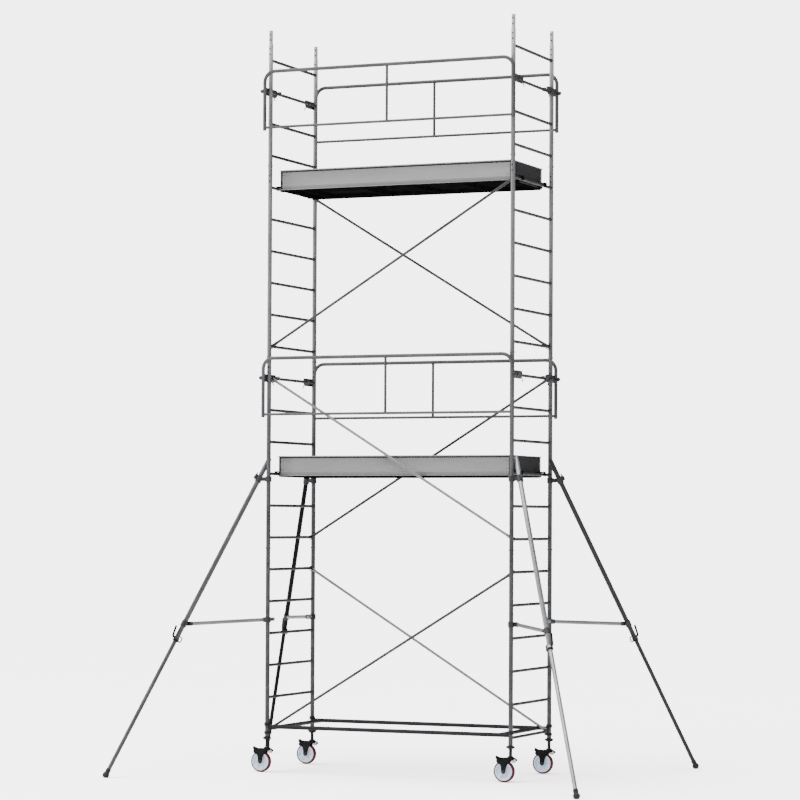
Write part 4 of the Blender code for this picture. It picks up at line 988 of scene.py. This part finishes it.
def stem_shapes(place, node):
    """Jack stem with its flange, the pin below it and a raised thread."""
    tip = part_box(node)[1][2]
    base = FORK_TOP + FIT_GAP
    core = 0.0148
    profile = [(0, tip), (core - 0.002, tip), (core, tip - 0.003), (core, base + 0.014),
               (0.020, base + 0.011), (0.028, base + 0.008), (0.029, base + 0.006), (0.029, base),
               (0.008, base), (0.008, base - 0.016), (0, base - 0.016)]
    point = bpy.data.meshes.new("point")
    point.from_pydata([(0, 0, 0)], [], [])
    length = tip - base - 0.024
    thread = run_tree(THREAD, point, {"Radius": core, "Turns": length / THREAD_PITCH, "Length": length,
                                      "Crest": 0.0021, "Material": BASE_ZINC})
    thread.transform(place @ at(0, 0, base + 0.018))
    return [lathe(profile, BASE_ZINC, place), thread]


def nut_shapes(place):
    """Round nut with two wings, just under the post."""
    top = POST_FOOT - FIT_GAP
    low = top - 0.032
    profile = [(0.0175, low), (0.024, low), (0.028, low + 0.004), (0.028, top - 0.005), (0.025, top),
               (0.0175, top)]
    wing = [(0.024, -0.009), (0.036, -0.008), (0.042, -0.004), (0.042, 0.004), (0.036, 0.008),
            (0.024, 0.009)]
    shapes = [lathe(profile, BASE_ZINC, place, closed=True)]
    for sign in (-1, 1):
        outline = [(sign * x, y) for x, y in wing]
        shapes.append(extruded(outline, 0.019, BASE_ZINC, place @ at(0, 0, (low + top) / 2), 0.002))
    return shapes


def wheel_shapes(place):
    """Nylon centre with a recessed web and ribs, a bonded tread and a bearing boss."""
    seat = place @ at(-TRAIL, 0, AXLE_HEIGHT) @ UPRIGHT
    side = [(0.0068, 0.0250), (0.0180, 0.0250), (0.0205, 0.0235), (0.0225, 0.0150), (0.0300, 0.0115),
            (0.0600, 0.0115), (0.0670, 0.0150), (0.0700, 0.0215), (0.0740, 0.0225), (0.0830, 0.0225)]
    profile = side + [(radius, -height) for radius, height in reversed(side)]
    rim = [(0.0830, 0.0222), (0.0930, 0.0218), (0.0980, 0.0175), (0.0996, 0.0100), (0.1000, 0.0)]
    tread = rim + [(radius, -height) for radius, height in reversed(rim[:-1])]
    shapes = [lathe(profile, NYLON, seat, WHEEL_SIDES, closed=True),
              lathe(tread, TREAD, seat, WHEEL_SIDES, closed=True)]
    rib = block((0.021, -0.0022, -0.0175), (0.069, 0.0022, 0.0175), NYLON, bevel=0.001)
    shapes.append(copies(rib, [seat @ Matrix.Rotation(math.radians(360 / WHEEL_RIBS * i), 4, "Z")
                               for i in range(WHEEL_RIBS)]))
    return shapes


def fork_shapes(place):
    """Pressed fork with its raceway, axle and bolts, pedal cheeks, release arm and light plate."""
    race = [(0.0086, 0.229), (0.030, 0.229), (0.036, 0.226), (0.037, 0.221), (0.034, 0.2175), (0.037, 0.214),
            (0.0365, 0.209), (0.032, 0.206), (0, 0.206), (0, 0.2115), (0.0086, 0.2115)]
    shapes = [lathe(race, CASTOR_BLACK, place, 28, closed=True)]
    outline = [(0.030, 0.225), (0.030, 0.213), (0.008, 0.204), (-0.012, 0.182), (-0.032, 0.146),
               (-0.040, 0.110), *arc((-TRAIL, AXLE_HEIGHT), 0.021, -5, -175, 9), (-0.082, 0.146),
               (-0.090, 0.166), (-0.110, 0.172), (-0.128, 0.182), (-0.131, 0.198), (-0.122, 0.211),
               (-0.096, 0.212), (-0.060, 0.215), (-0.030, 0.225)]
    for sign in (-1, 1):
        leg = place @ at(0, sign * 0.029) @ UPRIGHT
        shapes.append(extruded(outline, 0.004, CASTOR_BLACK, leg, 0.0009))
        end = place @ facing((-TRAIL, sign * 0.031, AXLE_HEIGHT), (0, sign, 0))
        shapes.append(hex_bolt(0.0105, 0.0075, end))
        ys = span(sign, 0.0215, 0.0255)
        shapes.append(block((-0.059, ys[0], 0.211), (-0.026, ys[1], 0.225), CASTOR_BLACK, place))
    shapes.append(rod(0.006, -0.030, 0.030, place @ facing((-TRAIL, 0, AXLE_HEIGHT), (0, 1, 0)), 14))
    arm = [(0.024, 0, 0.2165), (0.045, 0, 0.2180), (0.058, 0, 0.2095), (0.0590, 0, 0.1960)]
    shapes.append(tubes([arm], 0.016, CASTOR_BLACK, 12, 0.010, place))
    shapes.append(block((0.014, -0.018, 0.181), (0.047, 0.018, 0.2055), LIGHT_PLATE, place, 0.003))
    return shapes


def pedal_shapes(place):
    """Brake pedal with a broad ribbed toe."""
    lever = [(0.006, -0.002), (0.003, 0.006), (-0.020, 0.006), (-0.046, 0.004), (-0.064, 0.009),
             (-0.084, 0.019), (-0.089, 0.011), (-0.086, -0.008), (-0.070, -0.017), (-0.040, -0.011),
             (-0.004, -0.006)]
    rib = [(-0.060, 0.004), (-0.078, 0.016), (-0.085, 0.0215), (-0.0895, 0.014), (-0.078, 0.002),
           (-0.062, -0.004)]
    upright = place @ at(-0.052, 0, 0.219) @ UPRIGHT
    shapes = [extruded(lever, 0.034, CASTOR_BLACK, upright, 0.0012)]
    for y in (-0.0165, -0.0055, 0.0055, 0.0165):
        shapes.append(extruded(rib, 0.005, CASTOR_BLACK, upright @ at(0, 0, y), 0.0008))
    return shapes


def make_castors():
    for corner, (x_sign, y_sign) in CORNERS.items():
        place = at(x_sign * POST_X, y_sign * POST_Y)
        parts = (
            ("threaded_stem", "jack", stem_shapes(place, f"{corner}_jack_stem"), "jack_stem",
             "galvanised_tube"),
            ("wing_nut", "nut", nut_shapes(place), "jack_nut", "dark_tube"),
            ("fork", "castor", fork_shapes(place), "castor_fork", "castor_black"),
            ("wheel_and_tread", "wheel", wheel_shapes(place), "castor_wheel", "wheel_nylon"),
            ("pedal_lever", "pedal", pedal_shapes(place), "brake_pedal", "castor_black"),
        )
        for name, body, shapes, node, slot in parts:
            piece(f"{corner}_{name}", f"{corner}_{body}", shapes, [f"{corner}_{node}"])


# ---- stabilisers ----

LEG_ALONG = Vector((LEG_REACH, 0, FOOT_HEIGHT - LEG_APEX)).normalized()


def leg_point(height):
    return Vector((0, 0, LEG_APEX)) + LEG_ALONG * ((height - LEG_APEX) / LEG_ALONG.z)


def on_leg(base, height, side):
    """Place on the leg at a height: +Z up the tube, +X away from the tower."""
    turn = Vector((0, 0, -1)).rotation_difference(LEG_ALONG).to_matrix().to_4x4()
    return base @ Matrix.Translation(leg_point(height) + Vector((0, side * LEG_OFFSET, 0))) @ turn


def coupler_shapes(base, height, side, reach):
    """Coupler band round the post, an arm that reaches to one side, and a lug with its bolt."""
    low, high = height - 0.025, height + 0.025
    shapes = [band(POST_RADIUS + FIT_GAP, 0.008, low, high, HARDWARE, base)]
    target = Vector((reach, side * LEG_OFFSET, 0))
    turned = base @ Matrix.Rotation(math.atan2(target.y, target.x), 4, "Z")
    shapes.append(block((0.024, -0.013, low + 0.006), (target.length, 0.013, high - 0.006), HARDWARE,
                        turned, 0.002))
    shapes.append(block((0.026, -0.034, low + 0.010), (0.040, -0.020, high - 0.010), HARDWARE, turned,
                        0.002))
    shapes.append(hex_bolt(0.011, 0.014, turned @ facing((0.033, -0.034, height), (0, -1, 0))))
    shapes.append(rod(0.006, 0, 0.034, turned @ facing((0.033, -0.036, height), (0, -1, 0))))
    return shapes


def leg_shapes(base, side, zinc):
    """Outer tube with its end bands, couplers, lock lever and loop, and the plate that carries the strut."""
    length = (LEG_TOP - SLEEVE_END) / -LEG_ALONG.z
    outer, bore = LEG_RADIUS, LEG_BORE_RADIUS
    top = on_leg(base, LEG_TOP, side)
    tube = [(0, -0.001), (outer - 0.002, -0.001), (outer, -0.003), (outer, -length + 0.002),
            (outer - 0.001, -length), (bore, -length), (bore, -length + 0.95), (0, -length + 0.95)]
    shapes = [lathe(tube, zinc, top, 24)]
    end = on_leg(base, SLEEVE_END, side)
    shapes.append(band(outer + PROUD, 0.0055, 0.018, 0.040, zinc, end, 24))
    shapes.append(band(bore + 0.0002, 0.0085, 0.0005, 0.017, CASTOR_BLACK, end, 24))
    clamp = on_leg(base, UPPER_COUPLER, side)
    shapes.append(band(outer + PROUD, 0.0075, -0.030, 0.030, HARDWARE, clamp, 24))
    shapes.append(block((0.026, -0.012, -0.018), (0.052, 0.012, 0.018), HARDWARE, clamp, 0.002))
    shapes.append(hex_bolt(0.011, 0.014, clamp @ facing((0.040, 0, 0.018))))
    shapes.append(rod(0.006, 0, 0.028, clamp @ facing((0.040, 0, 0.022))))
    shapes += coupler_shapes(base, UPPER_COUPLER, side, leg_point(UPPER_COUPLER).x)
    lock = on_leg(base, SLEEVE_END + 0.020, side)
    lever = [(0.022, 0.010, 0.012), (0.046, 0.010, 0.000), (0.054, 0.010, 0.045), (0.064, 0.010, 0.110)]
    shapes.append(tubes([lever], 0.020, CASTOR_BLACK, SMALL_SIDES, 0.014, lock))
    loop = [(-0.022, -0.014, 0.040), (-0.056, -0.014, 0.036), (-0.058, -0.014, -0.012),
            (-0.024, -0.014, -0.004)]
    shapes.append(tubes([loop], 0.012, CASTOR_BLACK, 8, 0.010, lock))
    joint = leg_point(STRUT_AT_LEG)
    y = side * LEG_OFFSET
    shapes.append(block((joint.x - 0.080, y - 0.004, STRUT_AT_LEG - 0.020),
                        (joint.x - 0.021, y + 0.004, STRUT_AT_LEG + 0.020), CASTOR_BLACK, base, 0.001))
    shapes.append(band(outer + PROUD, 0.006, -0.028, 0.028, HARDWARE, on_leg(base, STRUT_AT_LEG, side), 24))
    return shapes


def strut_shapes(base, side):
    """Strut from the post to the leg's plate, with its fork, pin and post coupler."""
    joint = leg_point(STRUT_AT_LEG)
    y = side * LEG_OFFSET
    pin_x = joint.x - 0.064
    slope = (STRUT_AT_LEG - STRUT_AT_POST) / pin_x
    end_x = joint.x - 0.084
    start = (-0.090, y, STRUT_AT_POST + slope * -0.090)
    end = (end_x, y, STRUT_AT_POST + slope * end_x)
    shapes = [tubes([(start, end)], STRUT_DIAMETER, STRUT_ZINC, TUBE_SIDES, place=base)]
    for sign in (-1, 1):
        ys = sorted((y + sign * 0.0046, y + sign * 0.0096))
        shapes.append(block((end_x - 0.030, ys[0], STRUT_AT_LEG - 0.014),
                            (pin_x + 0.013, ys[1], STRUT_AT_LEG + 0.014), HARDWARE, base, 0.001))
        end = base @ facing((pin_x, y + sign * 0.0096, STRUT_AT_LEG), (0, sign, 0))
        shapes.append(hex_bolt(0.009, 0.009, end))
    shapes.append(rod(0.006, -0.011, 0.011, base @ facing((pin_x, y, STRUT_AT_LEG), (0, 1, 0))))
    shapes += coupler_shapes(base, STRUT_AT_POST, side, 0.0)
    along = Vector((1, 0, slope))
    shapes.append(band(0.0176, 0.006, -0.022, 0.022, HARDWARE, base @ facing((0, y, STRUT_AT_POST), along)))
    return shapes


def foot_shapes(base, side, zinc):
    """Sliding tube with its row of lock holes and the ribbed rubber foot, flat on the floor."""
    radius = FOOT_TUBE_RADIUS
    top = SLEEVE_END - FOOT_TUBE_OVERLAP * LEG_ALONG.z
    length = (top - FOOT_HEIGHT) / -LEG_ALONG.z
    start = on_leg(base, top, side)
    tube = [(0, 0), (radius - 0.001, 0), (radius, -0.001), (radius, -length + 0.035), (0, -length + 0.035)]
    shapes = [lathe(tube, zinc, start, 24)]
    ball = arc((0, 0), 0.032, 48, -88, 12)
    rubber = [(0, 0.062), (0.0195, 0.062), (0.0235, 0.060), (0.0240, 0.054), (0.0225, 0.052), (0.0245, 0.048),
              (0.0225, 0.044), (0.0245, 0.040), (0.0225, 0.034), *ball, (0, -0.032)]
    foot = lathe(rubber, RUBBER, on_leg(base, FOOT_HEIGHT, side), 24)
    for vertex in foot.vertices:
        vertex.co.z = max(vertex.co.z, 0.0004)
    shapes.append(foot)
    spots = []
    for i in range(LOCK_HOLES):
        for sign in (-1, 1):
            drop = FIRST_LOCK_HOLE + LOCK_HOLE_PITCH * i
            spots.append(start @ facing((0, sign * radius, -drop), (0, sign, 0)))
    # Lock holes drawn as dark discs: painted shade.
    hole = lathe([(0, PROUD), (0.0045, PROUD), (0.0045, -0.001), (0, -0.001)], HOLE_SHADE, sides=12)
    shapes.append(copies(hole, spots))
    return shapes


def make_stabilisers():
    for corner, (x_sign, y_sign) in CORNERS.items():
        side = 1 if x_sign != y_sign else -1
        turn = math.atan2(y_sign * math.sin(LEG_ANGLE), x_sign * math.cos(LEG_ANGLE))
        base = at(x_sign * POST_X, y_sign * POST_Y) @ Matrix.Rotation(turn, 4, "Z")
        parts = (
            ("outer_tube", "stabiliser", leg_shapes(base, side, LEG_ZINC_LIT_AND_SHADED[corner]), "stabiliser_leg"),
            ("strut_tube", "stabiliser", strut_shapes(base, side), "stabiliser_strut"),
            ("foot_tube", "stabiliser_foot", foot_shapes(base, side, LEG_ZINC_LIT_AND_SHADED[corner]),
             "stabiliser_inner_tube"),
        )
        for name, body, shapes, node in parts:
            piece(f"{corner}_{name}", f"{corner}_{body}", shapes, [f"{corner}_{node}"])


# ---- studio ----

FLOOR_REACH = 150.0
AROUND = 0.25
BACKDROP = 5.0
KEY_POWER = 18.5
KEY_ANGLE = 75.0
KEY_TURN = (math.radians(14), math.radians(-12), 0)
SIDE_SPOT = Vector((-17.0, -13.0, 8.0))
SIDE_AIM = Vector((0, 0, 3.4))
SIDE_SIZE = 5.0
SIDE_POWER = 3000.0


def make_studio():
    """Pale floor, even light from all round, a broad overhead light and one from the side."""
    work = bmesh.new()
    bmesh.ops.create_grid(work, x_segments=1, y_segments=1, size=FLOOR_REACH)
    ground = Finish("studio_floor")
    tone = ground.spread(ground.noise(0.6), 0.3, 0.7)
    colour = ground.blend(tone, (0.90, 0.90, 0.90), (0.92, 0.92, 0.92))
    mesh = from_work(work, ground.done(colour, 0.9))
    floor = bpy.data.objects.new("studio_floor", mesh)
    floor.location.z = -0.0005
    bpy.context.scene.collection.objects.link(floor)

    world = bpy.data.worlds.new("studio")
    bpy.context.scene.world = world
    world.use_nodes = True
    nodes, links = world.node_tree.nodes, world.node_tree.links
    around = nodes["Background"]
    around.inputs["Color"].default_value = (1.0, 1.0, 1.0, 1.0)
    around.inputs["Strength"].default_value = AROUND
    backdrop = nodes.new("ShaderNodeBackground")
    backdrop.inputs["Color"].default_value = (1.0, 1.0, 1.0, 1.0)
    backdrop.inputs["Strength"].default_value = BACKDROP
    path = nodes.new("ShaderNodeLightPath")
    choice = nodes.new("ShaderNodeMixShader")
    links.new(path.outputs["Is Camera Ray"], choice.inputs[0])
    links.new(around.outputs[0], choice.inputs[1])
    links.new(backdrop.outputs[0], choice.inputs[2])
    links.new(choice.outputs[0], nodes["World Output"].inputs["Surface"])

    key = bpy.data.lights.new("overhead", "SUN")
    key.energy = KEY_POWER
    key.angle = math.radians(KEY_ANGLE)
    holder = bpy.data.objects.new("overhead", key)
    holder.rotation_euler = KEY_TURN
    bpy.context.scene.collection.objects.link(holder)

    light = bpy.data.lights.new("side", "AREA")
    light.size = SIDE_SIZE
    light.energy = SIDE_POWER
    holder = bpy.data.objects.new("side", light)
    holder.location = SIDE_SPOT
    holder.rotation_euler = (SIDE_AIM - SIDE_SPOT).to_track_quat("-Z", "Y").to_euler()
    bpy.context.scene.collection.objects.link(holder)


def make_camera():
    yaw, pitch, roll = math.radians(23.316), math.radians(1.107), math.radians(0.281)
    forward = Vector((-math.sin(yaw) * math.cos(pitch), math.cos(yaw) * math.cos(pitch), math.sin(pitch)))
    right = Vector((math.cos(yaw), math.sin(yaw), 0))
    up = right.cross(forward)
    level_right = math.cos(roll) * right + math.sin(roll) * up
    level_up = -math.sin(roll) * right + math.cos(roll) * up
    data = bpy.data.cameras.new("camera")
    data.lens = 130.42
    data.sensor_width = 36.0
    data.shift_y = 0.080
    data.clip_end = 400.0
    holder = bpy.data.objects.new("camera", data)
    turn = Matrix((level_right, level_up, -forward)).transposed().to_4x4()
    holder.matrix_world = at(10.7016, -25.0494, 2.3734) @ turn
    bpy.context.scene.collection.objects.link(holder)
    bpy.context.scene.camera = holder


make_ladders()
make_base_frame()
make_braces()
make_guardrails()
make_decks()
make_castors()
make_stabilisers()
make_studio()
make_camera()
